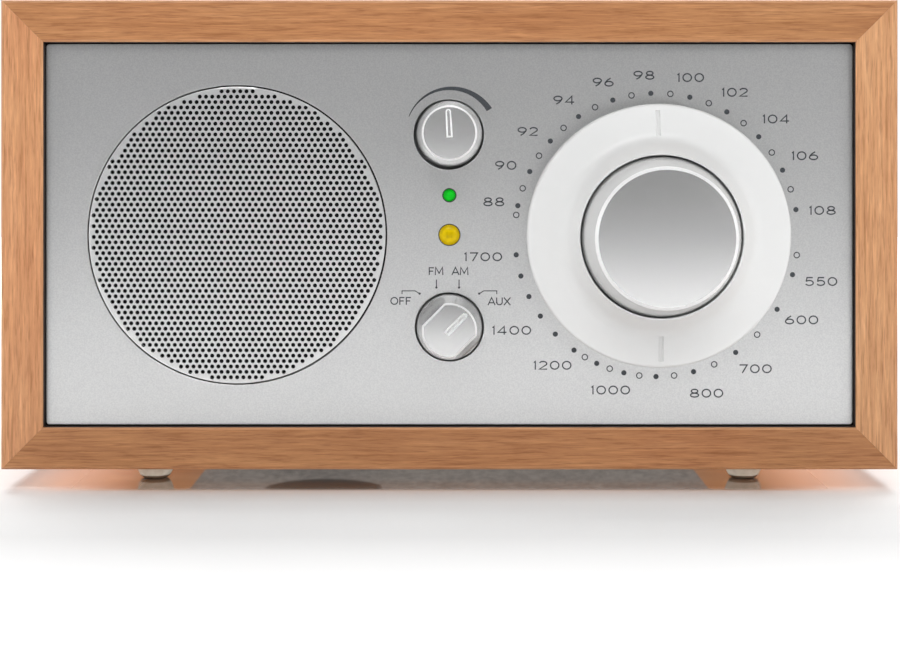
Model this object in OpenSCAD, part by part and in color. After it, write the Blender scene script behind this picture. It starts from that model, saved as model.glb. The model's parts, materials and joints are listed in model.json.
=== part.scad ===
// Table radio with a mitred wooden sleeve, a silver front panel, one round speaker,
// a volume knob, a mode knob and a tuning knob that drives a geared dial ring.
// Frame: +X right, +Y to the rear, +Z up. The front faces -Y. The origin lies
// under the middle of the radio, on the surface that its feet stand on.

/* [Cabinet] */
// Overall width of the cabinet
cabinet_w = 212.7; // [206:0.1:230]
// Height of the cabinet above its feet
cabinet_h = 111.4; // [108:0.1:120]
// Height of the middle of the dial and the speaker above the cabinet's underside
centre_rise = 55.55; // [54:0.05:58]
// Overall depth from the face of the tuning knob to the rear edge
overall_d = 133.4; // [131:0.1:150]
// Thickness of the cabinet boards
board_t = 10; // [9:0.1:11]
// Distance from the front edge back to the face of the front panel
panel_recess = 3; // [2:0.1:4]
// Distance from the rear edge forward to the outside of the rear panel
rear_recess = 10; // [9:0.1:12]
// Thickness of the front panel
panel_t = 2.5; // [2:0.1:3]
// Thickness of the rear panel
rear_panel_t = 3; // [2:0.1:4]
// Thickness of the baffle board behind the front panel
baffle_t = 8; // [7:0.1:9]
// Side of the square glue blocks in the corners
corner_block = 10; // [8:0.5:12]

/* [Feet] */
// Height of a foot
foot_h = 5.1; // [4:0.1:8]
// Radius of a foot where it meets the cabinet
foot_top_r = 4.75; // [4:0.05:6]
// Radius of a foot where it meets the table
foot_base_r = 2.6; // [2:0.1:3]
// Distance of the feet to either side of the middle
foot_x = 72.8; // [72:0.1:90]
// Distance of the feet from the front and rear edges
foot_inset = 20.5; // [10:0.5:25]

/* [Base plate] */
// Width of the plate under the cabinet
base_plate_w = 132; // [120:1:134]
// Depth of the plate under the cabinet
base_plate_d = 90; // [70:1:100]
// Thickness of the plate
base_plate_t = 1; // [0.8:0.1:1.5]

/* [Loudspeaker] */
// Distance of the loudspeaker to the left of the middle
speaker_x = 50.6; // [49:0.1:52]
// Radius of the hole in the front panel
speaker_hole_r = 35.4; // [35:0.1:36]
// Radius of the grille's rim
grille_r = 34.75; // [34:0.05:34.9]
// Cone travel each way
cone_travel = 1.5; // [0.5:0.1:2]
// Inner radius of the bass port
port_r = 13.5; // [10:0.5:14]
// Distance of the bass port to the left of the middle
port_x = 32; // [28:0.5:40]
// Distance of the bass port behind the cabinet's front edge
port_setback = 33.6; // [30:0.1:40]
// Height of the port tube
port_len = 21; // [15:0.1:22]

/* [Tuning] */
// Distance of the dial to the right of the middle
dial_x = 49.4; // [48:0.1:51]
// Height of the tuning knob's face above the panel
tuning_h = 23; // [21:0.1:24]
// Outer radius of the dial ring
dial_r = 31.1; // [30:0.1:32]
// Radius at which the dial ring turns up into its cone
dial_break_r = 22.8; // [22:0.1:24]
// Height of the dial ring's rim above the panel
dial_rim_h = 6; // [5:0.1:6.5]
// Height of the dial ring where it turns up
dial_break_h = 7.5; // [7:0.1:8]
// Height of the dial ring's inner edge above the panel
dial_h = 12; // [11:0.1:13]
// Radius of the tuning knob's barrel
tuning_r = 18.6; // [17:0.1:19]
// Radius of the tuning knob's face
tuning_face_r = 16.4; // [15:0.1:17]
// Gap between the tuning knob and the dial ring
dial_gap = 0.4; // [0.3:0.05:0.6]
// Gear module of the planetary reduction
gear_module = 0.7; // [0.7]
// Teeth on the sun pinion
sun_teeth = 12; // [12]
// Teeth on each planet gear
planet_teeth = 18; // [18]
// Number of planet gears
planets = 3; // [3]
// Face width of the gears
gear_w = 4; // [3:0.1:4]

/* [Controls] */
// Height of the volume knob above the middle height
volume_rise = 24.15; // [22:0.05:25]
// Depth of the mode knob below the middle height
mode_drop = 21.95; // [20:0.05:24]
// Radius of the small knobs where they leave the panel
small_knob_r = 7.85; // [7:0.05:8]
// Radius of the small knobs' faces
small_face_r = 6.5; // [5.5:0.1:7]
// Height of the volume knob's face above the panel
volume_h = 11.5; // [9:0.1:13]
// Height of the mode knob's face above the panel
mode_h = 11; // [9:0.1:13]
// Distance of the mode knob's two flats from its axis
mode_flat = 5.35; // [5:0.05:6]
// Clockwise angle of the volume pointer from upright
volume_pointer = -3; // [-10:0.5:10]
// Clockwise angle of the mode pointer from upright
mode_pointer = 45; // [45]
// Height of the power lamp above the middle height
lamp_rise = 9.45; // [8:0.05:10]

/* [Hidden] */
$fn = 96;
front_y = tuning_h - panel_recess - overall_d / 2;
rear_y = overall_d / 2;
panel_y = front_y + panel_recess;
panel_back = panel_y + panel_t;
baffle_back = panel_back + baffle_t;
rear_out = rear_y - rear_recess;
rear_in = rear_out - rear_panel_t;
half_w = cabinet_w / 2;
in_x = half_w - board_t;
top_z = foot_h + cabinet_h;
in_lo = foot_h + board_t;
in_hi = top_z - board_t;
mid_z = foot_h + centre_rise;
volume_z = mid_z + volume_rise;
mode_z = mid_z - mode_drop;
cabinet_d = rear_y - front_y;
running = 0.05;
slip = 0.02;
panel_gap = 0.2;

wood = "peru";
wood_inner = "burlywood";
silver = "silver";
ivory = "whitesmoke";
steel = "lightsteelblue";
dark = "dimgray";

// ---- helpers -------------------------------------------------------------

// Places children on the panel's face: local +Z points at the viewer, +Y up.
module on_panel(x, z) {
    translate([x, panel_y, z]) rotate([90, 0, 0]) children();
}

// Places children behind the plane y: local +Z points to the rear.
module behind(x, y, z) {
    translate([x, y, z]) rotate([-90, 0, 0]) children();
}

// A block between two corners.
module block(low, high) {
    translate(low) cube(high - low);
}

// A tube along local Z.
module tube(r_out, r_in, z0, z1) {
    translate([0, 0, z0]) difference() {
        cylinder(r = r_out, h = z1 - z0);
        translate([0, 0, -1]) cylinder(r = r_in, h = z1 - z0 + 2);
    }
}

// Points along a circular arc.
function arc(cx, cy, r, a0, a1, n) =
    [for (i = [0 : n]) [cx + r * cos(a0 + (a1 - a0) * i / n), cy + r * sin(a0 + (a1 - a0) * i / n)]];

// ---- cabinet -------------------------------------------------------------

// A mitred board, drawn as the top one in the XZ plane, with its length and drop.
module mitred_board(len, t) {
    rotate([90, 0, 0]) linear_extrude(cabinet_d)
        polygon([[-len / 2, 0], [len / 2, 0], [len / 2 - t, -t], [-len / 2 + t, -t]]);
}

module cabinet_top() {
    color(wood) translate([0, rear_y, top_z]) mitred_board(cabinet_w, board_t);
}

module cabinet_bottom() {
    color(wood) difference() {
        translate([0, rear_y, foot_h]) mirror([0, 0, 1]) mitred_board(cabinet_w, board_t);
        translate([-port_x, front_y + port_setback, 0]) cylinder(r = port_r + 1.5, h = 40);
        base_plate_block();
    }
}

module base_plate_block() {
    translate([-base_plate_w / 2, (front_y + rear_y - base_plate_d) / 2, foot_h])
        cube([base_plate_w, base_plate_d, base_plate_t]);
}

// A thin fibre plate let into the underside, with the port through it.
module base_plate() {
    color("gray") difference() {
        base_plate_block();
        translate([-port_x, front_y + port_setback, 0]) cylinder(r = port_r + 1.5, h = 40);
    }
}

module cabinet_side(side) {
    color(wood) translate([side * half_w, rear_y, foot_h + cabinet_h / 2]) rotate([0, side * 90, 0])
        mitred_board(cabinet_h, board_t);
}

module corner_blocks() {
    s = corner_block;
    color(wood_inner) difference() {
        for (x = [-1, 1])
            for (z = [in_lo + s / 2, in_hi - s / 2])
                translate([x * (in_x - s / 2), (baffle_back + rear_in) / 2, z])
                    cube([s, rear_in - baffle_back, s], center = true);
        rear_screw_places() translate([0, 0, -rear_panel_t - 12]) cylinder(r = 1.5 + slip, h = 20);
    }
}

// The four places of the rear screws: local +Z points out of the rear.
module rear_screw_places() {
    for (x = [-1, 1])
        for (z = [in_lo + corner_block / 2, in_hi - corner_block / 2])
            behind(x * (in_x - corner_block / 2), rear_out, z) children();
}

baffle_hole_r = 32.5;
driver_screw_r = 35.2;
gear_hole_r = 22;

module driver_screw_places() {
    for (a = [45 : 90 : 315])
        behind(-speaker_x + driver_screw_r * cos(a), baffle_back, mid_z + driver_screw_r * sin(a))
            children();
}

module front_baffle() {
    color(wood_inner) difference() {
        block([-in_x, panel_back, in_lo], [in_x, baffle_back, in_hi]);
        behind(-speaker_x, panel_back - 1, mid_z) cylinder(r = baffle_hole_r, h = baffle_t + 2);
        behind(dial_x, panel_back - 1, mid_z) cylinder(r = gear_hole_r, h = baffle_t + 2);
        block([-12.5, panel_back - 1, mid_z - 35], [12.5, baffle_back + 1, mid_z + 35]);
        driver_screw_places() translate([0, 0, -6]) cylinder(r = 1.25 + slip, h = 12);
    }
}

volume_hole_r = 8.4;
mode_hole_r = 8.2;
power_lamp_r = 1.5;
tuning_lamp_r = 2.45;
sleeve_r = 4;

module front_panel() {
    color(silver) difference() {
        block([-in_x + panel_gap, panel_y, in_lo + panel_gap],
            [in_x - panel_gap, panel_back, in_hi - panel_gap]);
        on_panel(-speaker_x, mid_z) translate([0, 0, -9]) cylinder(r = speaker_hole_r, h = 18);
        on_panel(dial_x, mid_z) translate([0, 0, -9]) cylinder(r = sleeve_r + 1.5, h = 18);
        on_panel(0, volume_z) translate([0, 0, -9]) cylinder(r = volume_hole_r, h = 18);
        on_panel(0, mode_z) translate([0, 0, -9]) cylinder(r = mode_hole_r, h = 18);
        on_panel(0, mid_z + lamp_rise) translate([0, 0, -9]) cylinder(r = power_lamp_r + running, h = 18);
        on_panel(0, mid_z) translate([0, 0, -9]) cylinder(r = tuning_lamp_r + running, h = 18);
    }
}

// A shallow round cup: a face plate with a rim that reaches back to the baffle.
module speaker_grille() {
    face_h = 0.5;
    color(silver) on_panel(-speaker_x, mid_z) rotate_extrude()
        polygon(concat([[0, face_h - 1], [grille_r - 0.8, face_h - 1], [grille_r - 0.8, -panel_t]],
            [[grille_r, -panel_t]], arc(grille_r - 0.6, face_h - 0.6, 0.6, 0, 90, 4), [[0, face_h]]));
}

module bass_port_tube() {
    color("black") translate([-port_x, front_y + port_setback, 0])
        tube(port_r + 1.4, port_r, foot_h, foot_h + port_len);
}

jack_z = 38;
jack_xs = [-62, -40, -18, 4];
jack_collar_r = 4;
dc_x = 30;
mains_x = 72;
mains_w = 20;
mains_opening_h = 13;
aerial_z = 82;
aerial_x = -66;
switch_x = -38;
board_front = rear_in - 12.2;
board_back = rear_in - 10.6;
switch_travel = 4;

module rear_panel() {
    color(dark) difference() {
        block([-in_x, rear_in, in_lo], [in_x, rear_out, in_hi]);
        rear_screw_places() translate([0, 0, -9]) cylinder(r = 1.7, h = 18);
        for (x = concat(jack_xs, [dc_x]))
            behind(x, rear_in - 1, jack_z) cylinder(r = jack_collar_r + 0.1, h = 9);
        behind(aerial_x, rear_in - 1, aerial_z) cylinder(r = 4.8, h = 9);
        block([mains_x - mains_w / 2 - 0.1, rear_in - 1, jack_z - 8.1],
            [mains_x + mains_w / 2 + 0.1, rear_out + 1, jack_z + 8.1]);
        block([switch_x - 4.4, rear_in - 1, aerial_z - 1.6], [switch_x + 4.4, rear_out + 1, aerial_z + 1.6]);
    }
}

module rear_screws() {
    color("black") rear_screw_places() union() {
        difference() {
            cylinder(r1 = 3.2, r2 = 2.4, h = 1.8);
            for (a = [0, 90])
                rotate([0, 0, a]) translate([-2, -0.35, 0.9]) cube([4, 0.7, 2]);
        }
        translate([0, 0, -rear_panel_t - 10]) cylinder(r = 1.5, h = rear_panel_t + 10.1);
    }
}

// A soft dome: upright where it meets the cabinet, rounded in to a flat base.
module foot(side_x, y) {
    steps = 6;
    bulge = foot_top_r - foot_base_r;
    color("gainsboro") translate([side_x * foot_x, y, 0]) rotate_extrude()
        polygon(concat([[0, 0]], [for (i = [0 : steps])
            [foot_base_r + bulge * sin(90 * i / steps), foot_h * (1 - cos(90 * i / steps))]], [[0, foot_h]]));
}

// ---- loudspeaker ---------------------------------------------------------

module at_driver() {
    behind(-speaker_x, baffle_back, mid_z) children();
}

basket_r = 38;
basket_in_r = 31.5;
basket_back_r = 17.5;
basket_d = 18.2;
sheet_t = 1.2;
cone_r = 27.9;
former_r = 7.3;
coil_r = 7.9;
pole_r = 7;
gap_r = 8.2;
plate_r = 19;
top_plate_t = 3;
magnet_t = 10;

module driver_basket() {
    color(steel) at_driver() difference() {
        rotate_extrude()
            polygon([[basket_in_r, 0], [basket_r, 0], [basket_r, sheet_t], [basket_in_r + 1, sheet_t],
                [basket_back_r + 1, basket_d], [gap_r + 1, basket_d], [gap_r + 1, basket_d - sheet_t],
                [basket_back_r, basket_d - sheet_t], [basket_in_r, sheet_t]]);
        for (a = [0 : 60 : 300])
            rotate([0, 0, a]) translate([12, -7, 3.5]) cube([25, 14, 11]);
        for (a = [45 : 90 : 315])
            rotate([0, 0, a]) translate([driver_screw_r, 0, -1]) cylinder(r = 1.4, h = 5);
    }
}

// The half-roll surround in front and the corrugated spider behind.
module driver_suspension() {
    mid_r = (cone_r + basket_in_r) / 2;
    roll = 1.5;
    skin = 0.4;
    waves = 4;
    r0 = coil_r + running;
    r1 = 20.5;
    steps = 24;
    radii = [for (i = [0 : steps]) r0 + (r1 - r0) * i / steps];
    wave = [for (i = [0 : steps]) 12.5 + 0.7 * sin(360 * waves * i / steps)];
    color(dark) at_driver() {
        rotate_extrude()
            polygon(concat([[cone_r + running, 0.2]], arc(mid_r, 0.2, roll, 180, 360, 10),
                [[basket_in_r, 0.2], [basket_in_r, 0.2 + skin], [mid_r + roll - skin, 0.2 + skin]],
                arc(mid_r, 0.2, roll - skin, 360, 180, 10),
                [[mid_r - roll + skin, 0.2 + skin], [cone_r + running, 0.2 + skin]]));
        rotate_extrude()
            polygon(concat([for (i = [0 : steps]) [radii[i], wave[i]]],
                [for (i = [steps : -1 : 0]) [radii[i], wave[i] + 0.5]]));
    }
}

module driver_magnet() {
    color("darkslategray") at_driver()
        tube(24, 11, basket_d + top_plate_t, basket_d + top_plate_t + magnet_t);
}

// The motor's two steel plates: the ring in front of the magnet, and the back
// plate that carries the pole.
module driver_plates() {
    back = basket_d + top_plate_t + magnet_t;
    color(steel) at_driver() union() {
        tube(plate_r, gap_r, basket_d, basket_d + top_plate_t);
        translate([0, 0, back]) cylinder(r = plate_r, h = top_plate_t);
        translate([0, 0, basket_d]) cylinder(r = pole_r, h = back - basket_d + 1);
    }
}

module driver_screws() {
    color("black") driver_screw_places() union() {
        translate([0, 0, sheet_t]) cylinder(r1 = 2.4, r2 = 1.8, h = 1.5);
        translate([0, 0, -5.5]) cylinder(r = 1.25, h = 5.5 + sheet_t);
    }
}

module driver_cone() {
    color("black") at_driver() rotate_extrude()
        polygon([[former_r + 0.3, 9.2], [cone_r - 0.3, 0.1], [cone_r, 0.7], [former_r + 0.3, 9.9]]);
}

module driver_dust_cap() {
    rise = 3;
    base_r = 9.4;
    base_z = 8.16;
    ball = (base_r * base_r + rise * rise) / (2 * rise);
    half = asin(base_r / ball);
    cz = base_z - rise + ball;
    color(dark) at_driver() rotate_extrude()
        polygon(concat(arc(0, cz, ball, -90, -90 + half, 8), arc(0, cz, ball - 0.4, -90 + half, -90, 8)));
}

module driver_voice_coil() {
    color("peru") at_driver() union() {
        tube(former_r + 0.3, former_r, 9.2, 24);
        tube(coil_r, former_r + 0.1, 17.4, 22.4);
    }
}

// ---- volume, mode and lamps ----------------------------------------------

bracket_t = 1.2;
bush_r = 3.5;
bush_len = 4.2;
shaft_r = 3;
shaft_end = 9;
pot_d = 9;

module control_bracket() {
    color(steel) difference() {
        block([-11, baffle_back, mid_z - 37], [18, baffle_back + bracket_t, mid_z + 37]);
        for (z = [volume_z, mode_z])
            behind(0, baffle_back - 1, z) cylinder(r = bush_r + running, h = 4);
    }
}

module control_nuts() {
    color("gold") for (z = [volume_z, mode_z])
        behind(0, baffle_back - 2, z) difference() {
            cylinder(r = 6, h = 2, $fn = 6);
            translate([0, 0, -1]) cylinder(r = bush_r + slip, h = 4);
        }
}

// A potentiometer or switch body with its bush; local +Z points to the rear.
module control_body(z, r, depth) {
    behind(0, baffle_back, z) difference() {
        union() {
            translate([0, 0, bracket_t]) cylinder(r = r, h = depth);
            translate([0, 0, -bush_len]) cylinder(r = bush_r, h = bush_len + bracket_t + 1);
            for (x = [-5, 0, 5])
                translate([x - 0.6, r - 3, bracket_t + 2]) cube([1.2, 6.5, 0.6]);
        }
        translate([0, 0, -bush_len - 1]) cylinder(r = shaft_r + running, h = bush_len + bracket_t + 4);
    }
}

module volume_pot() {
    color(steel) control_body(volume_z, 8.2, pot_d);
}

module mode_switch() {
    color("olivedrab") control_body(mode_z, 9.5, 13);
}

// The spindle reaches from inside the control's body to the knob.
module spindle(z) {
    on_panel(0, z) translate([0, 0, -baffle_t - panel_t - bracket_t - 2.5])
        cylinder(r = shaft_r, h = baffle_t + panel_t + bracket_t + 2.5 + shaft_end);
}

module volume_shaft() {
    color(steel) spindle(volume_z);
}

module mode_shaft() {
    color(steel) spindle(mode_z);
}

// A turned knob with a rounded front edge and a blind bore for its spindle.
module turned_knob(base_r, face_r, height, edge, foot_z) {
    rotate_extrude()
        polygon(concat([[shaft_r + slip, foot_z], [base_r, foot_z], [base_r, 0]],
            arc(face_r - edge, height - edge, edge, 8, 90, 5),
            [[0, height], [0, shaft_end + 0.2], [shaft_r + slip, shaft_end + 0.2]]));
}

// A shallow pointer groove with one round end, from the middle outwards.
module pointer_groove(from_r, to_r, w, top, depth) {
    translate([0, 0, top - depth]) {
        translate([-w / 2, from_r, 0]) cube([w, to_r - w / 2 - from_r, depth + 1]);
        translate([0, to_r - w / 2, 0]) cylinder(r = w / 2, h = depth + 1, $fn = 24);
    }
}

module volume_knob() {
    color(silver) on_panel(0, volume_z) difference() {
        turned_knob(small_knob_r, small_face_r, volume_h, 0.6, -1.5);
        rotate([0, 0, -volume_pointer]) pointer_groove(-0.7, 5.5, 0.8, volume_h, 0.4);
    }
}

module mode_knob() {
    color(silver) on_panel(0, mode_z) rotate([0, 0, -mode_pointer]) difference() {
        turned_knob(small_knob_r, small_face_r, mode_h, 0.6, -1.5);
        for (side = [-1, 1])
            translate([side * (mode_flat + 5) - 5, -10, 2]) cube([10, 20, 12]);
        pointer_groove(-0.5, 5.7, 0.8, mode_h, 0.4);
    }
}

module lamp(r, z, proud) {
    dome = 0.8;
    on_panel(0, z) union() {
        rotate_extrude()
            polygon(concat([[0, -5.5], [r, -5.5], [r, proud - dome]],
                [for (i = [1 : 6]) [r * cos(15 * i), proud - dome + dome * sin(15 * i)]]));
        translate([0, 0, -4.5]) cylinder(r = r + 0.4, h = 1);
    }
}

module power_led() {
    color("limegreen") lamp(power_lamp_r, mid_z + lamp_rise, 0.9);
}

module tuning_led() {
    color("gold") lamp(tuning_lamp_r, mid_z, 1.1);
}

module led_board() {
    front = panel_y + 5.5;
    color("darkgreen") union() {
        block([-7, front, mid_z - 7], [7, front + 1.2, mid_z + 14]);
        for (z = [mid_z - 5, mid_z + 12])
            behind(4, front + 1, z) cylinder(r = 1.5, h = baffle_back - front - 1);
    }
}

// ---- tuning drive --------------------------------------------------------

ring_teeth = sun_teeth + 2 * planet_teeth;
carrier_r = gear_module * (sun_teeth + planet_teeth) / 2;
pressure_angle = 25;
addendum = 0.85 * gear_module;
dedendum = 1.05 * gear_module;
ring_addendum = 0.75 * gear_module;
backlash = 0.08;
housing_r = 21;
cover_t = 2;
knob_shaft_r = 2.5;
pin_r = 1.5;
disc_r = 14.5;
cavity_r = 18.3;
// Heights above the panel's face; behind the panel they are negative.
cover_z = -panel_t - cover_t;
gears_z = -11;
housing_back = -14.5;
front_disc_z = gears_z + gear_w + 0.3;
rear_disc_z = gears_z - 2.1;
disc_t = 1.8;

function involute(a) = tan(a) * 180 / PI - a;
function pitch_r(teeth) = gear_module * teeth / 2;
function base_circle(teeth) = pitch_r(teeth) * cos(pressure_angle);
// Half of a tooth's angle at radius r; play thins it, or widens a gap when negative.
function half_tooth(teeth, r, play) =
    90 / teeth - play / pitch_r(teeth) * 90 / PI + involute(pressure_angle)
    - involute(acos(min(1, base_circle(teeth) / r)));
function polar(r, a) = [r * cos(a), r * sin(a)];

// A toothed outline with a tooth at angle 0.
function gear_outline(teeth, root, tip, play) = let (
        steps = 5,
        start = max(root, base_circle(teeth)),
        radii = [for (i = [0 : steps]) start + (tip - start) * i / steps])
    [for (t = [0 : teeth - 1]) let (mid = 360 * t / teeth) each concat(
        [polar(root, mid - half_tooth(teeth, start, play) - (start > root ? 0.6 : 0))],
        [for (r = radii) polar(r, mid - half_tooth(teeth, r, play))],
        [for (i = [steps : -1 : 0]) polar(radii[i], mid + half_tooth(teeth, radii[i], play))],
        [polar(root, mid + half_tooth(teeth, start, play) + (start > root ? 0.6 : 0))])];

module outer_gear(teeth, z0, w) {
    translate([0, 0, z0]) linear_extrude(w)
        polygon(gear_outline(teeth, pitch_r(teeth) - dedendum, pitch_r(teeth) + addendum, backlash));
}

module on_dial() {
    on_panel(dial_x, mid_z) children();
}

module gear_cover() {
    color(steel) on_dial() difference() {
        translate([0, 0, cover_z]) cylinder(r = housing_r, h = cover_t);
        translate([0, 0, cover_z - 1]) cylinder(r = sleeve_r + running, h = cover_t + 2);
        gear_screw_holes();
    }
}

gear_screw_r = 0.8;

module gear_screw_places() {
    for (a = [45 : 90 : 315])
        rotate([0, 0, a]) translate([(housing_r + cavity_r) / 2, 0, 0]) children();
}

module gear_screw_holes() {
    gear_screw_places() translate([0, 0, -30]) cylinder(r = gear_screw_r + slip, h = 40);
}

// Long screws through the capacitor's front plate and the housing into the cover.
module drive_screws() {
    head = 1.1;
    color("black") on_dial() gear_screw_places() {
        translate([0, 0, capacitor_front - plate_t - head]) cylinder(r = 1.5, h = head);
        translate([0, 0, capacitor_front - plate_t]) cylinder(r = gear_screw_r, h = 13.5);
    }
}

// The fixed internal gear is also the drive's housing.
module ring_gear() {
    gap_tip = pitch_r(ring_teeth) + dedendum;
    gap_root = pitch_r(ring_teeth) - ring_addendum;
    color(ivory) on_dial() difference() {
        translate([0, 0, housing_back]) cylinder(r = housing_r, h = cover_z - housing_back);
        translate([0, 0, gears_z + gear_w + 0.2]) cylinder(r = cavity_r, h = 10);
        translate([0, 0, housing_back - 1]) cylinder(r = cavity_r, h = gears_z - 0.2 - housing_back + 1);
        translate([0, 0, housing_back - 1]) rotate([0, 0, 180 / ring_teeth]) linear_extrude(20)
            polygon(gear_outline(ring_teeth, gap_root, gap_tip, -backlash));
        gear_screw_holes();
    }
}

module tuning_knob() {
    foot = 6.6;
    edge = 0.9;
    wall = 2.2;
    hub = 6;
    shoulder = dial_h - 0.4;
    color(silver) on_dial() rotate_extrude()
        polygon(concat([[knob_shaft_r + slip, foot], [hub, foot], [hub, tuning_h - 3]],
            [[tuning_face_r - wall, tuning_h - 3], [tuning_r - wall, foot + 1], [tuning_r - wall, foot]],
            [[tuning_r, foot], [tuning_r, shoulder]],
            arc(tuning_face_r - edge, tuning_h - edge, edge, 11, 90, 6),
            [[0, tuning_h], [0, 16.2], [knob_shaft_r + slip, 16.2]]));
}

module sun_shaft() {
    color("goldenrod") on_dial() union() {
        outer_gear(sun_teeth, gears_z, gear_w);
        translate([0, 0, gears_z + gear_w]) cylinder(r = knob_shaft_r, h = 16 - gears_z - gear_w);
    }
}

module planet_gear(index) {
    place = 90 + 120 * (index - 1);
    color(ivory) on_dial() rotate([0, 0, place]) translate([carrier_r, 0, 0]) rotate([0, 0, 170])
        difference() {
            outer_gear(planet_teeth, gears_z, gear_w);
            translate([0, 0, gears_z - 1]) cylinder(r = pin_r + running, h = gear_w + 2);
        }
}

module planet_places() {
    for (i = [0 : planets - 1])
        rotate([0, 0, 90 + 360 * i / planets]) translate([carrier_r, 0, 0]) children();
}

module planet_carrier() {
    color(steel) on_dial() difference() {
        union() {
            translate([0, 0, front_disc_z]) cylinder(r = disc_r, h = disc_t);
            translate([0, 0, front_disc_z]) cylinder(r = sleeve_r, h = 5.8 - front_disc_z);
            planet_places() translate([0, 0, rear_disc_z])
                cylinder(r = pin_r, h = front_disc_z - rear_disc_z + 1);
        }
        translate([0, 0, front_disc_z - 1]) cylinder(r = knob_shaft_r + running, h = 30);
    }
}

capacitor_front = housing_back;
plate_t = 1.5;
capacitor_len = 17.7;
vane_t = 0.6;
vane_pitch = 2.4;
vanes = 4;

module carrier_plate() {
    color(steel) on_dial() difference() {
        union() {
            translate([0, 0, rear_disc_z]) cylinder(r = disc_r, h = disc_t);
            translate([0, 0, capacitor_front - capacitor_len - 0.5])
                cylinder(r = shaft_r, h = rear_disc_z - capacitor_front + capacitor_len + 1);
        }
        planet_places() translate([0, 0, rear_disc_z - 1]) cylinder(r = pin_r + slip, h = 4);
    }
}

// The dial ring: a thin skirt, a gently rising face and a steeper cone round the knob.
module dial_ring() {
    edge = 0.8;
    skin = 1.5;
    floor_h = 2.4;
    boss_r = 8;
    groove_w = 1;
    groove_len = 6.2;
    groove_depth = 0.4;
    inner_r = tuning_r + dial_gap;
    groove_r = dial_r - 1.4;
    slope = atan((dial_break_h - dial_rim_h) / (dial_r - edge - dial_break_r));
    color(ivory) on_dial() difference() {
        rotate_extrude()
            polygon(concat([[sleeve_r + slip, floor_h], [dial_r - skin, floor_h], [dial_r - skin, 0.6]],
                [[dial_r, 0.6]], arc(dial_r - edge, dial_rim_h - edge, edge, 0, 80, 4),
                [[dial_break_r, dial_break_h], [inner_r + 0.35, dial_h], [inner_r, dial_h]],
                [[inner_r, floor_h + 2], [boss_r, floor_h + 2], [boss_r, floor_h + 3.2]],
                [[sleeve_r + slip, floor_h + 3.2]]));
        for (a = [0, 180])
            rotate([0, 0, a])
                translate([0, groove_r, dial_rim_h + (dial_r - edge - groove_r) * tan(slope) - groove_depth])
                    rotate([-slope, 0, 0]) translate([-groove_w / 2, -groove_len, 0])
                        cube([groove_w, groove_len, 3]);
    }
}

module capacitor_frame() {
    half = 20;
    color(steel) on_dial() difference() {
        union() {
            translate([-half, -half, capacitor_front - plate_t]) cube([2 * half, 2 * half, plate_t]);
            translate([-half, -half, capacitor_front - capacitor_len]) cube([2 * half, 2 * half, plate_t]);
            for (x = [-1, 1])
                for (y = [-1, 1])
                    translate([x * 17.5, y * 17.5, capacitor_front - capacitor_len])
                        cylinder(r = 1.5, h = capacitor_len);
        }
        translate([0, 0, capacitor_front - capacitor_len - 1]) cylinder(r = shaft_r + running, h = 30);
        gear_screw_holes();
    }
}

module capacitor_stator() {
    rear = capacitor_front - capacitor_len + plate_t;
    color("gainsboro") on_dial() union() {
        for (i = [0 : vanes])
            translate([0, 0, capacitor_front - plate_t - 2.3 - i * vane_pitch]) difference() {
                translate([-17.5, -15.5, 0]) cube([18, 31, vane_t]);
                translate([0, 0, -1]) cylinder(r = 5.5, h = 3);
            }
        for (y = [-17, 15.2])
            translate([-11, y, rear]) cube([3, 1.8, capacitor_len - 2 * plate_t]);
    }
}

module capacitor_rotor() {
    color("silver") on_dial() difference() {
        union() {
            translate([0, 0, capacitor_front - capacitor_len + plate_t + 0.5])
                cylinder(r = 4.6, h = capacitor_len - 2 * plate_t - 1);
            for (i = [0 : vanes - 1])
                translate([0, 0, capacitor_front - plate_t - 2.3 - (i + 0.5) * vane_pitch]) intersection() {
                    cylinder(r = 15, h = vane_t);
                    translate([-16, -16, -1]) cube([16, 32, 3]);
                }
        }
        translate([0, 0, capacitor_front - capacitor_len - 1]) cylinder(r = shaft_r + slip, h = 30);
    }
}

// ---- electronics ---------------------------------------------------------

// The board stands off the rear panel on four round spacers.
module main_pcb() {
    spacer_r = 3;
    color("darkgreen") union() {
        block([-85.5, board_front, mid_z - 40], [50, board_back, mid_z + 40]);
        for (x = [-82, 42])
            for (z = [mid_z - 34, mid_z + 34])
                behind(x, board_back - 0.5, z) cylinder(r = spacer_r, h = rear_in - board_back + 0.5);
    }
}

module pcb_components() {
    face = board_front;
    color("darkslateblue") union() {
        // electrolytic capacitors
        for (p = [[-70, 40, 5], [-56, 40, 5], [-20, 80, 4], [-8, 80, 4], [30, 46, 6], [14, 46, 6]])
            translate([p[0], face, p[1]]) rotate([90, 0, 0]) cylinder(r = p[2], h = 3 * p[2]);
        // shielded coils
        for (x = [-74 : 14 : -32])
            translate([x, face, 62]) rotate([90, 0, 0]) linear_extrude(10) square(7, center = true);
        // integrated circuits
        for (x = [-10 : 20 : 30])
            translate([x, face, 64]) rotate([90, 0, 0]) linear_extrude(2.6) square([12, 7], center = true);
    }
}

transformer_x = 62;
transformer_y = 10;
core_w = 42;
core_h = 35;
core_d = 18;
window_w = 7;
window_h = 21;

module transformer_core() {
    color(steel) translate([transformer_x, transformer_y, in_lo]) difference() {
        union() {
            translate([-core_w / 2, -core_d / 2, 0]) cube([core_w, core_d, core_h]);
            translate([-core_w / 2 + 4, -core_d / 2 - 8, 0]) cube([core_w - 8, core_d + 16, 1.2]);
        }
        for (side = [-1, 1])
            translate([side * 10.5 - window_w / 2, -core_d, (core_h - window_h) / 2])
                cube([window_w, 2 * core_d, window_h]);
    }
}

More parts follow.
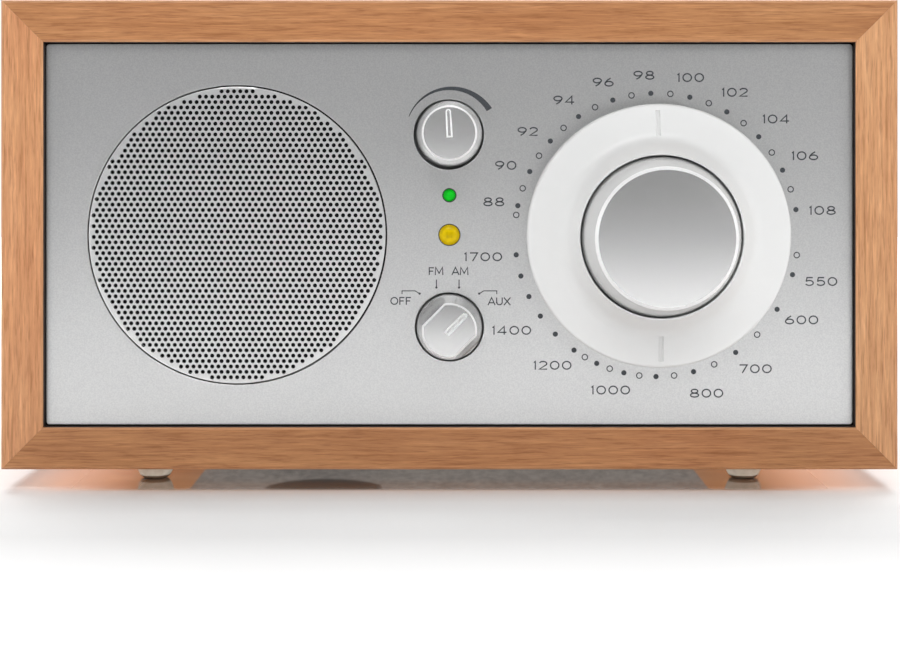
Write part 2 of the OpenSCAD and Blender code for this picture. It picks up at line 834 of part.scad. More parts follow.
module transformer_coil() {
    coil_w = 27.4;
    coil_h = 20.6;
    coil_d = 32;
    color("khaki") translate([transformer_x, transformer_y, in_lo + core_h / 2]) difference() {
        cube([coil_w, coil_d, coil_h], center = true);
        cube([2 * (10.5 - window_w / 2) + 0.2, core_d + 0.2, coil_h + 2], center = true);
    }
}

module ferrite_antenna() {
    rod_z = in_hi - 9;
    rod_y = 24;
    color("darkslategray") union() {
        translate([-20, rod_y, rod_z]) rotate([0, 90, 0]) cylinder(r = 4, h = 104);
        translate([50, rod_y, rod_z]) rotate([0, 90, 0]) cylinder(r = 5, h = 22);
        for (x = [-14, 78])
            block([x - 3, rod_y - 6, rod_z - 6], [x + 3, rod_y + 6, in_hi]);
    }
}

// ---- rear connectors -----------------------------------------------------

// Figure-of-eight mains socket with two pins.
module mains_inlet() {
    lobe = 4.3;
    socket_d = 13;
    color("black") translate([mains_x, rear_out, jack_z]) rotate([-90, 0, 0]) {
        difference() {
            union() {
                translate([-mains_w / 2, -8, -18]) cube([mains_w, 16, 18]);
                translate([-mains_w / 2 - 4, -10, 0]) cube([mains_w + 8, 20, 2]);
            }
            for (x = [-lobe, lobe])
                translate([x, 0, 2 - socket_d]) cylinder(r = 4.2, h = socket_d + 1);
            translate([-lobe, -3.2, 2 - socket_d]) cube([2 * lobe, 6.4, socket_d + 1]);
        }
        for (x = [-lobe, lobe])
            translate([x, 0, 1 - socket_d]) cylinder(r = 1.2, h = socket_d - 2);
    }
}

// Low-voltage socket: a barrel with a centre pin.
module dc_inlet() {
    color("black") behind(dc_x, rear_out, jack_z) union() {
        difference() {
            union() {
                translate([-6, -6, board_back - rear_out]) cube([12, 12, rear_in - board_back]);
                translate([0, 0, -rear_panel_t - 1]) cylinder(r = jack_collar_r, h = rear_panel_t + 2);
            }
            translate([0, 0, -9]) cylinder(r = 2.9, h = 12);
        }
        translate([0, 0, -9.5]) cylinder(r = 1.05, h = 9.5);
    }
}

jack_bore_r = 1.8;
jack_bore_d = 12;

module audio_jacks() {
    color("black") for (x = jack_xs)
        behind(x, rear_out, jack_z) difference() {
            union() {
                translate([-6, -6, board_back - rear_out]) cube([12, 12, rear_in - board_back]);
                translate([0, 0, -rear_panel_t - 1]) cylinder(r = jack_collar_r, h = rear_panel_t + 2);
            }
            translate([0, 0, 1 - jack_bore_d]) cylinder(r = jack_bore_r, h = jack_bore_d + 1);
        }
}

// Threaded coaxial aerial socket with its hexagonal nut.
module fm_connector() {
    color("gold") behind(aerial_x, rear_out, aerial_z) difference() {
        union() {
            translate([0, 0, board_back - rear_out]) cylinder(r = 4.7, h = 8 - board_back + rear_out);
            cylinder(r = 7, h = 2.4, $fn = 6);
            translate([0, 0, board_back - rear_out]) cylinder(r = 7, h = rear_in - board_back);
        }
        translate([0, 0, 2]) cylinder(r = 0.6, h = 8);
    }
}

module antenna_switch() {
    color("silver") difference() {
        block([switch_x - 9, board_back, aerial_z - 4], [switch_x + 9, rear_in, aerial_z + 4]);
        block([switch_x - 4.4, rear_in - 3, aerial_z - 1.6], [switch_x + 4.4, rear_in + 1, aerial_z + 1.6]);
    }
}

module antenna_lever() {
    color("black") block([switch_x - 4, rear_in - 2.6, aerial_z - 1.3],
        [switch_x - 4 + 8 - switch_travel, rear_out + 1.8, aerial_z + 1.3]);
}

// ---- output --------------------------------------------------------------

cabinet_top();
cabinet_bottom();
cabinet_side(-1);  // cabinet_left
cabinet_side(1);  // cabinet_right
corner_blocks();
front_baffle();
front_panel();
speaker_grille();
bass_port_tube();
base_plate();
rear_panel();
rear_screws();
foot(-1, front_y + foot_inset);  // foot_front_left
foot(1, front_y + foot_inset);  // foot_front_right
foot(-1, rear_y - foot_inset);  // foot_rear_left
foot(1, rear_y - foot_inset);  // foot_rear_right
driver_basket();
driver_suspension();
driver_magnet();
driver_plates();
driver_screws();
driver_cone();
driver_dust_cap();
driver_voice_coil();
control_bracket();
control_nuts();
volume_pot();
volume_shaft();
volume_knob();
mode_switch();
mode_shaft();
mode_knob();
led_board();
power_led();
tuning_led();
gear_cover();
ring_gear();
drive_screws();
tuning_knob();
sun_shaft();
planet_gear(1);  // planet_gear_1
planet_gear(2);  // planet_gear_2
planet_gear(3);  // planet_gear_3
planet_carrier();
carrier_plate();
dial_ring();
capacitor_frame();
capacitor_stator();
capacitor_rotor();
main_pcb();
pcb_components();
transformer_core();
transformer_coil();
ferrite_antenna();
mains_inlet();
dc_inlet();
audio_jacks();
fm_connector();
antenna_switch();
antenna_lever();
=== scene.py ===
import json
import math

import bmesh
import bpy
from mathutils import Matrix, Vector


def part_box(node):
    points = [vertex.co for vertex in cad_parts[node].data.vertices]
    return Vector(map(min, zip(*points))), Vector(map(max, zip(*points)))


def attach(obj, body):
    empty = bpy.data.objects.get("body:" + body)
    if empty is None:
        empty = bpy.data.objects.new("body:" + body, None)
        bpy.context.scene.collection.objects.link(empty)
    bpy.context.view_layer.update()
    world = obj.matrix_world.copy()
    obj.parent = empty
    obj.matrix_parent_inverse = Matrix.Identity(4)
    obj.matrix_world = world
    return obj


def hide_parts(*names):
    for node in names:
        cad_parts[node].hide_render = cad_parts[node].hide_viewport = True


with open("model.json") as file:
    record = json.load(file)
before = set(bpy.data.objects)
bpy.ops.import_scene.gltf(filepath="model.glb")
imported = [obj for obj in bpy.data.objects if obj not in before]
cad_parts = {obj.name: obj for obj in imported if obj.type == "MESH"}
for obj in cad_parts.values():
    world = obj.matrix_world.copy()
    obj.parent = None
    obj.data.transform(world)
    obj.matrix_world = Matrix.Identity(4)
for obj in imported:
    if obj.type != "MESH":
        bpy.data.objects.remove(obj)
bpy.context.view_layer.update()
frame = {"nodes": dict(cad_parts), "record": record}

MM = 0.001

# ---- places, all read from the frame --------------------------------------

def middle(node):
    low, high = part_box(node)
    return [(low[i] + high[i]) / 2 for i in range(3)]


PANEL_LOW, PANEL_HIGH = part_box("front_panel")
PANEL_Y = PANEL_LOW[1]
PANEL_T = PANEL_HIGH[1] - PANEL_LOW[1]
CAB_LOW = [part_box("cabinet_left")[0][0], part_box("cabinet_top")[0][1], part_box("cabinet_bottom")[0][2]]
CAB_HIGH = [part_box("cabinet_right")[1][0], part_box("cabinet_top")[1][1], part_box("cabinet_top")[1][2]]
BOARD_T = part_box("cabinet_top")[1][2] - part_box("cabinet_top")[0][2]
MID_Z = middle("dial_ring")[2]
DIAL_X = middle("dial_ring")[0]
SPEAKER_X = middle("speaker_grille")[0]
VOLUME_Z = middle("volume_knob")[2]
MODE_Z = middle("mode_knob")[2]
POWER_LED_Z = middle("power_led")[2]
PORT = middle("bass_port_tube")

# ---- sizes that the looks add, in millimetres -----------------------------

VOLUME_HOLE_R = 8.4
MODE_HOLE_R = 8.2
SPEAKER_HOLE_R = 35.75
POWER_LED_R = 1.5
TUNING_LED_R = 2.45
INK_T = 0.03
DOME_SMALL = 0.12
DOME_LARGE = 0.30
OUTER_EASE = 0.75
INNER_EASE = 0.55
MITRE_GAP = 0.02
PANEL_GAP_SIDE = 0.15
PANEL_GAP_END = 0.3


# ---- node material helpers ------------------------------------------------

class Shader:
    """A principled material and short calls for wiring its texture nodes."""

    def __init__(self, name, color, roughness, metallic=0.0):
        self.material = bpy.data.materials.new(name)
        self.material.use_nodes = True
        self.tree = self.material.node_tree
        self.bsdf = self.tree.nodes["Principled BSDF"]
        self.set("Base Color", (*color, 1.0))
        self.set("Roughness", roughness)
        self.set("Metallic", metallic)
        self.material.diffuse_color = (*color, 1.0)

    def set(self, socket, value):
        self.bsdf.inputs[socket].default_value = value

    def feed(self, socket, value):
        """Links an output to the socket, or else sets the socket's own value."""
        if isinstance(value, bpy.types.NodeSocket):
            self.tree.links.new(value, socket)
        else:
            socket.default_value = (*value, 1.0) if socket.type == "RGBA" else value

    def node(self, kind, **inputs):
        made = self.tree.nodes.new("ShaderNode" + kind)
        for key, value in inputs.items():
            self.feed(made.inputs[key], value)
        return made

    def link(self, output, socket):
        self.tree.links.new(output, self.bsdf.inputs[socket])

    def place(self, scale=(1, 1, 1), shift=(0, 0, 0)):
        coords = self.tree.nodes.new("ShaderNodeTexCoord")
        return self.node("Mapping", Vector=coords.outputs["Object"], Scale=scale,
                         Location=shift).outputs["Vector"]

    def noise(self, vector, scale, detail=2.0, rough=0.5, distortion=0.0):
        made = self.node("TexNoise", Vector=vector, Scale=scale, Detail=detail,
                         Roughness=rough, Distortion=distortion)
        return made.outputs["Fac"]

    def ramp(self, value, stops):
        made = self.node("ValToRGB", Fac=value)
        made.color_ramp.interpolation = "EASE"
        while len(made.color_ramp.elements) < len(stops):
            made.color_ramp.elements.new(0.5)
        for element, (place, color) in zip(made.color_ramp.elements, stops):
            element.position = place
            element.color = (*color, 1.0)
        return made.outputs["Color"]

    def span(self, value, low, high, to_low=0.0, to_high=1.0):
        ends = {"From Min": low, "From Max": high, "To Min": to_low, "To Max": to_high}
        return self.node("MapRange", Value=value, **ends).outputs["Result"]

    def vary(self, noise, dark, light):
        """A noise's middle range as a colour between dark and light."""
        return self.ramp(noise, [(0.3, dark), (0.7, light)])

    def rough(self, noise, low, high):
        """Roughness between low and high over a noise's middle range."""
        self.link(self.span(noise, 0.3, 0.7, low, high), "Roughness")

    def mix(self, factor, a, b, blend="MIX"):
        made = self.tree.nodes.new("ShaderNodeMix")
        made.data_type = "RGBA"
        made.blend_type = blend
        for index, value in ((0, factor), (6, a), (7, b)):
            self.feed(made.inputs[index], value)
        return made.outputs[2]

    def math(self, operation, a, b=0.0):
        made = self.tree.nodes.new("ShaderNodeMath")
        made.operation = operation
        for socket, value in zip(made.inputs, (a, b)):
            self.feed(socket, value)
        return made.outputs[0]

    def product(self, first, *others):
        for other in others:
            first = self.math("MULTIPLY", first, other)
        return first

    def distance(self, a, b):
        """The length of the vector (a, b)."""
        return self.math("SQRT", self.math("ADD", self.product(a, a), self.product(b, b)))

    def bump(self, height, strength, distance_mm):
        made = self.node("Bump", Height=height, Strength=strength, Distance=distance_mm * MM)
        self.link(made.outputs["Normal"], "Normal")


def scaled(color, factor):
    return tuple(c * factor for c in color)


def wood(name, along, shift, painted_light_tint):
    """Satin cherry veneer. along is the grain's axis: 0 for X, 2 for Z; the last argument scales the colour,
    painting light and shade onto each board's copy.
    """
    s = Shader(name, tuple(c * t for c, t in zip((0.56, 0.28, 0.13), painted_light_tint)), 0.42)

    def grain(stretch):
        scale = [1.0, 1.0, 1.0]
        scale[along] = stretch
        return s.place(tuple(scale), shift)

    bands = s.noise(grain(0.06), 75.0, 3.0, 0.55, 0.6)
    streaks = s.noise(grain(0.045), 480.0, 4.0, 0.65, 0.3)
    lines = s.noise(grain(0.055), 1500.0, 4.0, 0.7, 0.15)
    fibres = s.noise(grain(0.05), 2600.0, 2.0, 0.6)
    patches = s.noise(s.place((1, 1, 1), shift), 17.0, 2.0, 0.5)
    tone = s.mix(0.5, s.ramp(streaks, [(0.32, (0.42, 0.175, 0.068)), (0.52, (0.56, 0.27, 0.122)),
                                       (0.72, (0.70, 0.385, 0.20))]),
                 s.ramp(bands, [(0.32, (0.44, 0.185, 0.075)), (0.52, (0.57, 0.275, 0.128)),
                                (0.76, (0.69, 0.375, 0.19))]))
    tone = s.mix(s.span(patches, 0.35, 0.7, 0.0, 0.25), tone, (0.60, 0.37, 0.18))
    tone = s.mix(1.0, tone, s.ramp(lines, [(0.34, (0.76, 0.68, 0.60)), (0.50, (1.0, 1.0, 1.0)),
                                           (0.68, (1.19, 1.25, 1.29))]), "MULTIPLY")
    pores = s.span(fibres, 0.57, 0.70)
    tone = s.mix(s.math("MULTIPLY", pores, 0.42), tone, (0.27, 0.105, 0.042))
    s.link(s.mix(1.0, tone, painted_light_tint, "MULTIPLY"), "Base Color")
    s.link(s.span(streaks, 0.3, 0.75, 0.38, 0.52), "Roughness")
    s.set("Specular IOR Level", 0.42)
    s.set("Coat Weight", 0.12)
    s.set("Coat Roughness", 0.35)
    s.bump(s.math("SUBTRACT", lines, s.math("MULTIPLY", pores, 0.6)), 0.3, 0.04)
    return s.material


def silver_paint(name, level, roughness, metallic, grain):
    """Satin paint with fine metal flakes; grain scales how much they show."""
    s = Shader(name, (level, level * 1.005, level * 1.005), roughness, metallic)
    flakes = s.noise(s.place(), 2900.0, 2.0, 0.7)
    low = (level * (1 - 0.08 * grain), level * (1 - 0.075 * grain), level * (1 - 0.07 * grain))
    high = (level * (1 + 0.08 * grain), level * (1 + 0.085 * grain), level * (1 + 0.08 * grain))
    s.link(s.vary(flakes, low, high), "Base Color")
    s.rough(flakes, roughness - 0.03 * grain, roughness + 0.04 * grain)
    s.bump(flakes, 0.25, 0.012 * grain)
    return s.material


def turned_edge_highlight(name):
    """The turned edge of a knob, near-white and hardly metallic so that it shows bright from every side: a
    painted highlight on a real edge.
    """
    s = Shader(name, (0.98, 0.985, 0.985), 0.3, 0.12)
    s.rough(s.noise(s.place(), 3000.0), 0.26, 0.36)
    return s.material


def pearl_plastic(name):
    """Smooth white moulding of the dial ring, with a faint mould texture."""
    s = Shader(name, (0.87, 0.875, 0.87), 0.34)
    at = s.place()
    clouds = s.noise(at, 260.0, 3.0)
    s.link(s.vary(clouds, (0.872, 0.876, 0.872), (0.88, 0.884, 0.88)), "Base Color")
    s.rough(s.noise(at, 1400.0), 0.3, 0.4)
    s.set("Coat Weight", 0.15)
    s.set("Coat Roughness", 0.25)
    s.bump(s.noise(at, 2600.0, 2.0), 0.12, 0.01)
    return s.material


def moulded(name, color, roughness=0.55, grain=1500.0, depth=0.03):
    """Plastic with a fine spark-eroded texture."""
    s = Shader(name, color, roughness)
    at = s.place()
    texture = s.noise(at, grain, 3.0, 0.65)
    wear = s.noise(at, 60.0, 3.0)
    dark = scaled(color, 0.85)
    light = tuple(min(1.0, c * 1.2 + 0.004) for c in color)
    s.link(s.vary(wear, dark, light), "Base Color")
    s.rough(texture, roughness - 0.08, roughness + 0.1)
    s.bump(texture, 0.4, depth)
    return s.material


def metal(name, color, roughness, brushed=(1, 1, 1), metallic=1.0):
    """Plated, stamped or turned metal with fine scratches."""
    s = Shader(name, color, roughness, metallic)
    lines = s.noise(s.place(brushed), 1800.0, 3.0, 0.6)
    stains = s.noise(s.place(), 90.0, 3.0)
    s.link(s.mix(0.5, s.vary(lines, scaled(color, 0.85), color),
                 s.vary(stains, scaled(color, 0.9), color)), "Base Color")
    s.rough(lines, roughness - 0.06, roughness + 0.1)
    s.bump(lines, 0.2, 0.01)
    return s.material


def ink(name):
    """Dark slate printing on the panel."""
    s = Shader(name, (0.045, 0.052, 0.06), 0.5)
    grain = s.noise(s.place(), 3500.0)
    s.link(s.vary(grain, (0.038, 0.044, 0.052), (0.062, 0.07, 0.08)), "Base Color")
    return s.material


def lamp_lens(name, x, z, r, bright, rim, chip, strength):
    """Tinted resin lit from inside: dimmer at its rim, with the lamp's square chip in the middle."""
    s = Shader(name, rim, 0.16)
    split = s.node("SeparateXYZ", Vector=s.place((1 / r, 1 / r, 1 / r), (-x / r, 0, -z / r)))
    across = s.math("ABSOLUTE", split.outputs["X"])
    up = s.math("ABSOLUTE", split.outputs["Z"])
    out = s.distance(across, up)
    square = s.span(s.math("MAXIMUM", across, up), 0.24, 0.34, 1.0, 0.0)
    glow = s.mix(s.span(out, 0.62, 0.98), bright, rim)
    glow = s.mix(square, glow, chip)
    s.link(glow, "Emission Color")
    s.link(s.mix(s.span(s.noise(s.place(), 900.0, 2.0), 0.3, 0.7, 0.0, 0.4), rim, bright), "Base Color")
    s.set("Emission Strength", strength)
    s.set("Specular IOR Level", 0.08)
    s.set("Coat Weight", 0.05)
    s.set("Coat Roughness", 0.1)
    return s.material


def foot_rubber(name):
    """Milky soft rubber."""
    s = Shader(name, (0.44, 0.40, 0.33), 0.4)
    s.link(s.vary(s.noise(s.place(), 500.0, 2.0), (0.40, 0.36, 0.29), (0.48, 0.44, 0.37)),
           "Base Color")
    s.set("Subsurface Weight", 0.35)
    s.set("Subsurface Radius", (0.002, 0.002, 0.0018))
    s.set("Transmission Weight", 0.25)
    return s.material


def fibre_board(name, dark, light, scale=700.0, roughness=0.85):
    """Pressed fibre: raw board edges, or the plate under the cabinet; and in near-black, the painted shade on
    the sleeve's inward walls.
    """
    s = Shader(name, light, roughness)
    at = s.place()
    flecks = s.noise(at, scale, 4.0, 0.7, 0.4)
    felt = s.noise(at, scale * 3.0, 2.0)
    s.link(s.ramp(flecks, [(0.32, dark), (0.68, light)]), "Base Color")
    s.bump(felt, 0.5, 0.08)
    return s.material


def solder_mask(name):
    """Circuit board with faint copper tracks under green lacquer."""
    s = Shader(name, (0.02, 0.13, 0.055), 0.35)
    bricks = s.node("TexBrick", Vector=s.place(), Scale=180.0, Color1=(0.018, 0.115, 0.05),
                    Color2=(0.024, 0.15, 0.06), Mortar=(0.035, 0.2, 0.08))
    s.link(bricks.outputs["Color"], "Base Color")
    s.rough(s.noise(s.place(), 400.0), 0.3, 0.42)
    return s.material


def winding(name, color):
    """Layers of fine wire or tape, wound round."""
    s = Shader(name, color, 0.4, 0.3)
    wave = s.node("TexWave", Vector=s.place(), Scale=700.0, Distortion=1.5)
    dark = scaled(color, 0.55)
    s.link(s.ramp(wave.outputs["Fac"], [(0.1, dark), (0.7, color)]), "Base Color")
    s.bump(wave.outputs["Fac"], 0.5, 0.08)
    return s.material


# One veneer for all boards, scaled per board by painted light and shade: the side boards lighter, the top and
# bottom darker.
WOOD_TOP = wood("cherry_top", 0, (0.31, 0.07, 0.11), (0.92, 0.81, 0.68))
WOOD_BOTTOM = wood("cherry_bottom", 0, (1.73, 0.42, 0.67), (0.89, 0.78, 0.66))
WOOD_LEFT = wood("cherry_left", 2, (0.93, 0.28, 2.31), (1.21, 1.14, 1.13))
WOOD_RIGHT = wood("cherry_right", 2, (2.17, 0.83, 1.19), (1.20, 1.23, 1.24))
# The eased edges' copies are lighter than their boards' faces: a painted highlight on the rounding.
EDGE_ALONG_X = wood("cherry_edge_x", 0, (0.71, 0.37, 0.21), (1.02, 0.98, 0.95))
EDGE_ALONG_Z = wood("cherry_edge_z", 2, (0.55, 0.91, 0.44), (1.25, 1.24, 1.26))
# Near-black for the boards' inward walls: painted shade in the recess round the front panel.
PAINTED_SHADE_RECESS = fibre_board("painted_shade_recess_wall", (0.010, 0.004, 0.002), (0.022, 0.009, 0.005), 600.0, 0.8)
PANEL_PAINT = silver_paint("panel_silver", 0.74, 0.31, 0.88, 0.8)
# One knob paint at three levels: the volume knob's lighter copy and the mode knob's darker copy are painted
# light and shade.
KNOB_PAINT = silver_paint("knob_silver", 0.80, 0.27, 0.92, 0.07)
VOLUME_PAINT = silver_paint("volume_knob_silver", 0.94, 0.27, 0.92, 0.07)
MODE_PAINT = silver_paint("mode_knob_silver", 0.70, 0.27, 0.92, 0.07)
GRILLE_PAINT = silver_paint("grille_silver", 0.82, 0.36, 0.88, 0.5)
# Near-white on the knobs' chamfers and groove walls: a painted highlight on real edges.
EDGE_BRIGHT = turned_edge_highlight("knob_bright_edge")
DIAL_WHITE = pearl_plastic("dial_pearl")
INK = ink("panel_ink")
SHADOW_BLACK = moulded("gap_black", (0.012, 0.012, 0.013), 0.7)
BLACK_PLASTIC = moulded("black_plastic", (0.02, 0.02, 0.022), 0.45)
CLOTH = moulded("grille_cloth", (0.006, 0.006, 0.0065), 0.9, 2200.0, 0.08)
FOOT = foot_rubber("foot_rubber")
GREEN_LENS = lamp_lens("green_lens", 0.0, POWER_LED_Z, POWER_LED_R * MM, (0.004, 0.56, 0.014),
                       (0.001, 0.12, 0.006), (0.006, 0.62, 0.02), 0.62)
AMBER_LENS = lamp_lens("amber_lens", 0.0, MID_Z, TUNING_LED_R * MM, (0.62, 0.46, 0.002),
                       (0.26, 0.17, 0.001), (0.44, 0.31, 0.001), 0.62)

# The look of each of the record's slots.
SLOT_MATERIAL = {
    "cabinet_wood": WOOD_TOP,
    "inner_wood": fibre_board("raw_fibreboard", (0.42, 0.30, 0.18), (0.62, 0.47, 0.30)),
    "panel_silver": PANEL_PAINT,
    "knob_silver": KNOB_PAINT,
    "dial_ivory": DIAL_WHITE,
    "rear_plastic": moulded("rear_plastic", (0.03, 0.03, 0.032), 0.55, 1100.0, 0.05),
    "black_plastic": BLACK_PLASTIC,
    "foot_rubber": FOOT,
    "steel": metal("zinc_steel", (0.56, 0.57, 0.58), 0.34),
    "black_steel": metal("black_steel", (0.03, 0.03, 0.032), 0.4, metallic=0.6),
    "brass": metal("brass", (0.72, 0.52, 0.24), 0.3),
    "nickel": metal("nickel", (0.72, 0.70, 0.66), 0.22),
    "ferrite": moulded("ferrite", (0.045, 0.045, 0.05), 0.6, 900.0, 0.05),
    "cone_paper": fibre_board("cone_paper", (0.02, 0.02, 0.022), (0.05, 0.05, 0.054), 900.0),
    "surround_rubber": moulded("surround_rubber", (0.022, 0.022, 0.024), 0.5, 1300.0, 0.02),
    "base_fibre": fibre_board("base_fibre", (0.13, 0.115, 0.105), (0.30, 0.27, 0.245), 480.0),
    "coil_copper": winding("coil_copper", (0.62, 0.27, 0.12)),
    "gear_plastic": moulded("gear_acetal", (0.78, 0.77, 0.72), 0.4, 1200.0, 0.01),
    "vane_aluminium": metal("aluminium", (0.78, 0.79, 0.80), 0.3, (1, 1, 0.1)),
    "board_green": solder_mask("circuit_board"),
    "component_mix": moulded("component_cases", (0.05, 0.05, 0.09), 0.4, 800.0, 0.01),
    "winding_tape": winding("winding_tape", (0.70, 0.56, 0.20)),
    "lamp_green": GREEN_LENS,
    "lamp_amber": AMBER_LENS,
}

# The baffle shows only in the gaps round the panel's parts, which are black in the photograph.
NODE_MATERIAL = {"front_baffle": SHADOW_BLACK}


def finish_cad_nodes():
    for part in frame["record"]["subparts"]:
        mesh = frame["nodes"][part["node"]].data
        mesh.materials.clear()
        mesh.materials.append(NODE_MATERIAL.get(part["node"], SLOT_MATERIAL[part["material_slot"]]))


# ---- mesh helpers ---------------------------------------------------------

def put(name, data):
    """A new object in the scene."""
    made = bpy.data.objects.new(name, data)
    bpy.context.scene.collection.objects.link(made)
    return made


def taken_mesh(item):
    """The mesh that an object has after its modifiers or its curve's fill. The object is removed."""
    graph = bpy.context.evaluated_depsgraph_get()
    mesh = bpy.data.meshes.new_from_object(item.evaluated_get(graph))
    bpy.data.objects.remove(item)
    return mesh


def new_piece(name, mesh, body, materials, replaces=()):
    """Adds a piece to a body. A mesh that has its materials already keeps them."""
    piece = put(name, mesh)
    if not mesh.materials:
        for material in materials:
            mesh.materials.append(material)
    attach(piece, body)
    if replaces:
        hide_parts(*replaces)
    return piece


def shade(mesh, sharp_deg, flat_axes=()):
    """Shades the mesh smooth up to sharp_deg, but flat on faces that look along one of flat_axes."""
    mesh.set_sharp_from_angle(angle=math.radians(sharp_deg))
    if flat_axes:
        for polygon in mesh.polygons:
            if any(abs(polygon.normal[axis]) > 0.9999 for axis in flat_axes):
                polygon.use_smooth = False


def mesh_from(bm, name, sharp_deg=35.0, flat_axes=()):
    bmesh.ops.recalc_face_normals(bm, faces=bm.faces)
    mesh = bpy.data.meshes.new(name)
    bm.to_mesh(mesh)
    bm.free()
    shade(mesh, sharp_deg, flat_axes)
    return mesh


def prism(bm, near, far):
    """Closes two matching loops of vertices into a solid. Returns its sides in the loops' order."""
    bm.faces.new(near)
    bm.faces.new(far[::-1])
    return [bm.faces.new(side) for side in zip(near, near[1:] + near[:1], far[1:] + far[:1], far)]


def on_panel(x, z):
    """Local +Z points at the viewer and +Y up, from the panel's face at (x, z)."""
    return Matrix.Translation((x, PANEL_Y, z)) @ Matrix.Rotation(math.pi / 2, 4, "X")


def rounded(corners, steps=5):
    """A polyline whose corners are rounded: each corner is (r, h) or (r, h, radius)."""
    out = []
    for i, corner in enumerate(corners):
        here = Vector(corner[:2])
        radius = corner[2] if len(corner) > 2 else 0.0
        if radius == 0.0 or i in (0, len(corners) - 1):
            out.append(here)
            continue
        back = Vector(corners[i - 1][:2]) - here
        ahead = Vector(corners[i + 1][:2]) - here
        angle = back.angle(ahead)
        reach = min(radius / math.tan(angle / 2), back.length * 0.49, ahead.length * 0.49)
        start = here + back.normalized() * reach
        end = here + ahead.normalized() * reach
        for k in range(steps + 1):
            t = k / steps
            out.append(start * (1 - t) ** 2 + here * 2 * t * (1 - t) + end * t ** 2)
    return out


def supported(profile, near=0.07):
    """The profile with a point close to both ends of each long straight, so that straights shade straight."""
    out = [Vector(profile[0][:2])]
    for here, there in zip(profile, profile[1:]):
        here, there = Vector(here[:2]), Vector(there[:2])
        way = there - here
        if way.length > 5 * near:
            step = way.normalized() * near
            out += [here + step, there - step]
        out.append(there)
    return out


def lathe(bm, profile, segments, bands=None):
    """Turns a profile in millimetres round local Z; bands maps a (low, high) height span to a material."""
    profile = supported(profile)
    rings = []
    for r, h in profile:
        if r < 1e-6:
            rings.append([bm.verts.new((0, 0, h * MM))])
        else:
            rings.append([bm.verts.new((r * MM * math.cos(2 * math.pi * k / segments),
                                        r * MM * math.sin(2 * math.pi * k / segments), h * MM))
                          for k in range(segments)])
    for (a, b), (p, q) in zip(zip(rings, rings[1:]), zip(profile, profile[1:])):
        index = 0
        for (low, high, from_r), material in (bands or {}).items():
            if low <= (p[1] + q[1]) / 2 <= high and (p[0] + q[0]) / 2 >= from_r:
                index = material
        for k in range(segments):
            n = (k + 1) % segments
            if len(a) == 1 and len(b) == 1:
                continue
            if len(a) == 1:
                face = bm.faces.new((a[0], b[k], b[n]))
            elif len(b) == 1:
                face = bm.faces.new((a[k], a[n], b[0]))
            else:
                face = bm.faces.new((a[k], a[n], b[n], b[k]))
            face.material_index = index


def turned(name, profile, segments, sharp_deg=35.0, bands=None, at=None):
    """A turned mesh. A profile that ends where it starts closes on itself."""
    bm = bmesh.new()
    lathe(bm, profile, segments, bands)
    if profile[0] == profile[-1]:
        bmesh.ops.remove_doubles(bm, verts=bm.verts, dist=1e-7)
    mesh = mesh_from(bm, name, sharp_deg)
    if at:
        mesh.transform(at)
    return mesh


def cut(mesh, cutters, name, flat_axes=()):
    """mesh less the cutter meshes, as a new mesh."""
    target = put("cut_target", mesh)
    tools = []
    for cutter in cutters:
        for material in mesh.materials:
            cutter.materials.append(material)
        tool = put("cut_tool", cutter)
        modifier = target.modifiers.new("cut", "BOOLEAN")
        modifier.operation = "DIFFERENCE"
        modifier.solver = "EXACT"
        modifier.material_mode = "INDEX"
        modifier.object = tool
        tools.append(tool)
    made = taken_mesh(target)
    made.name = name
    shade(made, 25, flat_axes)
    for tool in tools:
        bpy.data.objects.remove(tool)
    return made


def turn_clockwise(bm, angle_deg):
    turn = Matrix.Rotation(-math.radians(angle_deg), 3, "Z")
    bmesh.ops.rotate(bm, verts=bm.verts, cent=(0, 0, 0), matrix=turn)


def slot_cutter(from_r, to_r, width, depth, face, angle_deg, wall, round_end=True):
    """A groove in the plane at height face, pointing angle_deg clockwise from up.

    Its sides lean out by wall and get material 1, which on the knobs is the near-white edge: a painted
    highlight along the groove. Its far end is round, or both ends are square."""
    lift = 0.4
    arc_steps = 12
    bm = bmesh.new()
    loops = []
    for height, half in ((face - depth, width / 2 - wall), (face + lift, width / 2 + wall * lift / depth)):
        if round_end:
            start = from_r + width / 2 - half
            outline = [(-half, start), (half, start)]
            outline += arc_points(0, to_r - width / 2, half, half, 0, 180, arc_steps)
        else:
            outline = [(-half, from_r), (half, from_r), (half, to_r), (-half, to_r)]
        loops.append([bm.verts.new((x * MM, y * MM, height * MM)) for x, y in outline])
    for side in prism(bm, *loops):
        side.material_index = 1
    turn_clockwise(bm, angle_deg)
    return mesh_from(bm, "slot_cutter")


def plate(name, outline, holes, thickness, edge, at):
    """A flat plate with rounded edges; outline and holes are loops of points in millimetres."""
    curve = bpy.data.curves.new(name, "CURVE")
    curve.dimensions = "2D"
    curve.fill_mode = "BOTH"
    curve.extrude = (thickness / 2 - edge) * MM
    curve.bevel_depth = edge * MM
    curve.bevel_resolution = 2
    curve.offset = -edge * MM
    for loop in [outline] + holes:
        spline = curve.splines.new("POLY")
        spline.points.add(len(loop) - 1)
        for point, (x, y) in zip(spline.points, loop):
            point.co = (x * MM, y * MM, 0, 1)
        spline.use_cyclic_u = True
    carrier = put(name, curve)
    made = taken_mesh(carrier)
    bm = bmesh.new()
    bm.from_mesh(made)
    bmesh.ops.remove_doubles(bm, verts=bm.verts, dist=1e-7)
    bm.transform(at)
    return mesh_from(bm, name, 30, (1,))


def circle(cx, cy, r, count=96):
    return [(cx + r * math.cos(2 * math.pi * k / count), cy + r * math.sin(2 * math.pi * k / count))
            for k in range(count)]


def arc_points(cx, cy, rx, ry, start, end, count):
    return [(cx + rx * math.cos(math.radians(start + (end - start) * k / count)),
             cy + ry * math.sin(math.radians(start + (end - start) * k / count))) for k in range(count + 1)]


# ---- cabinet --------------------------------------------------------------

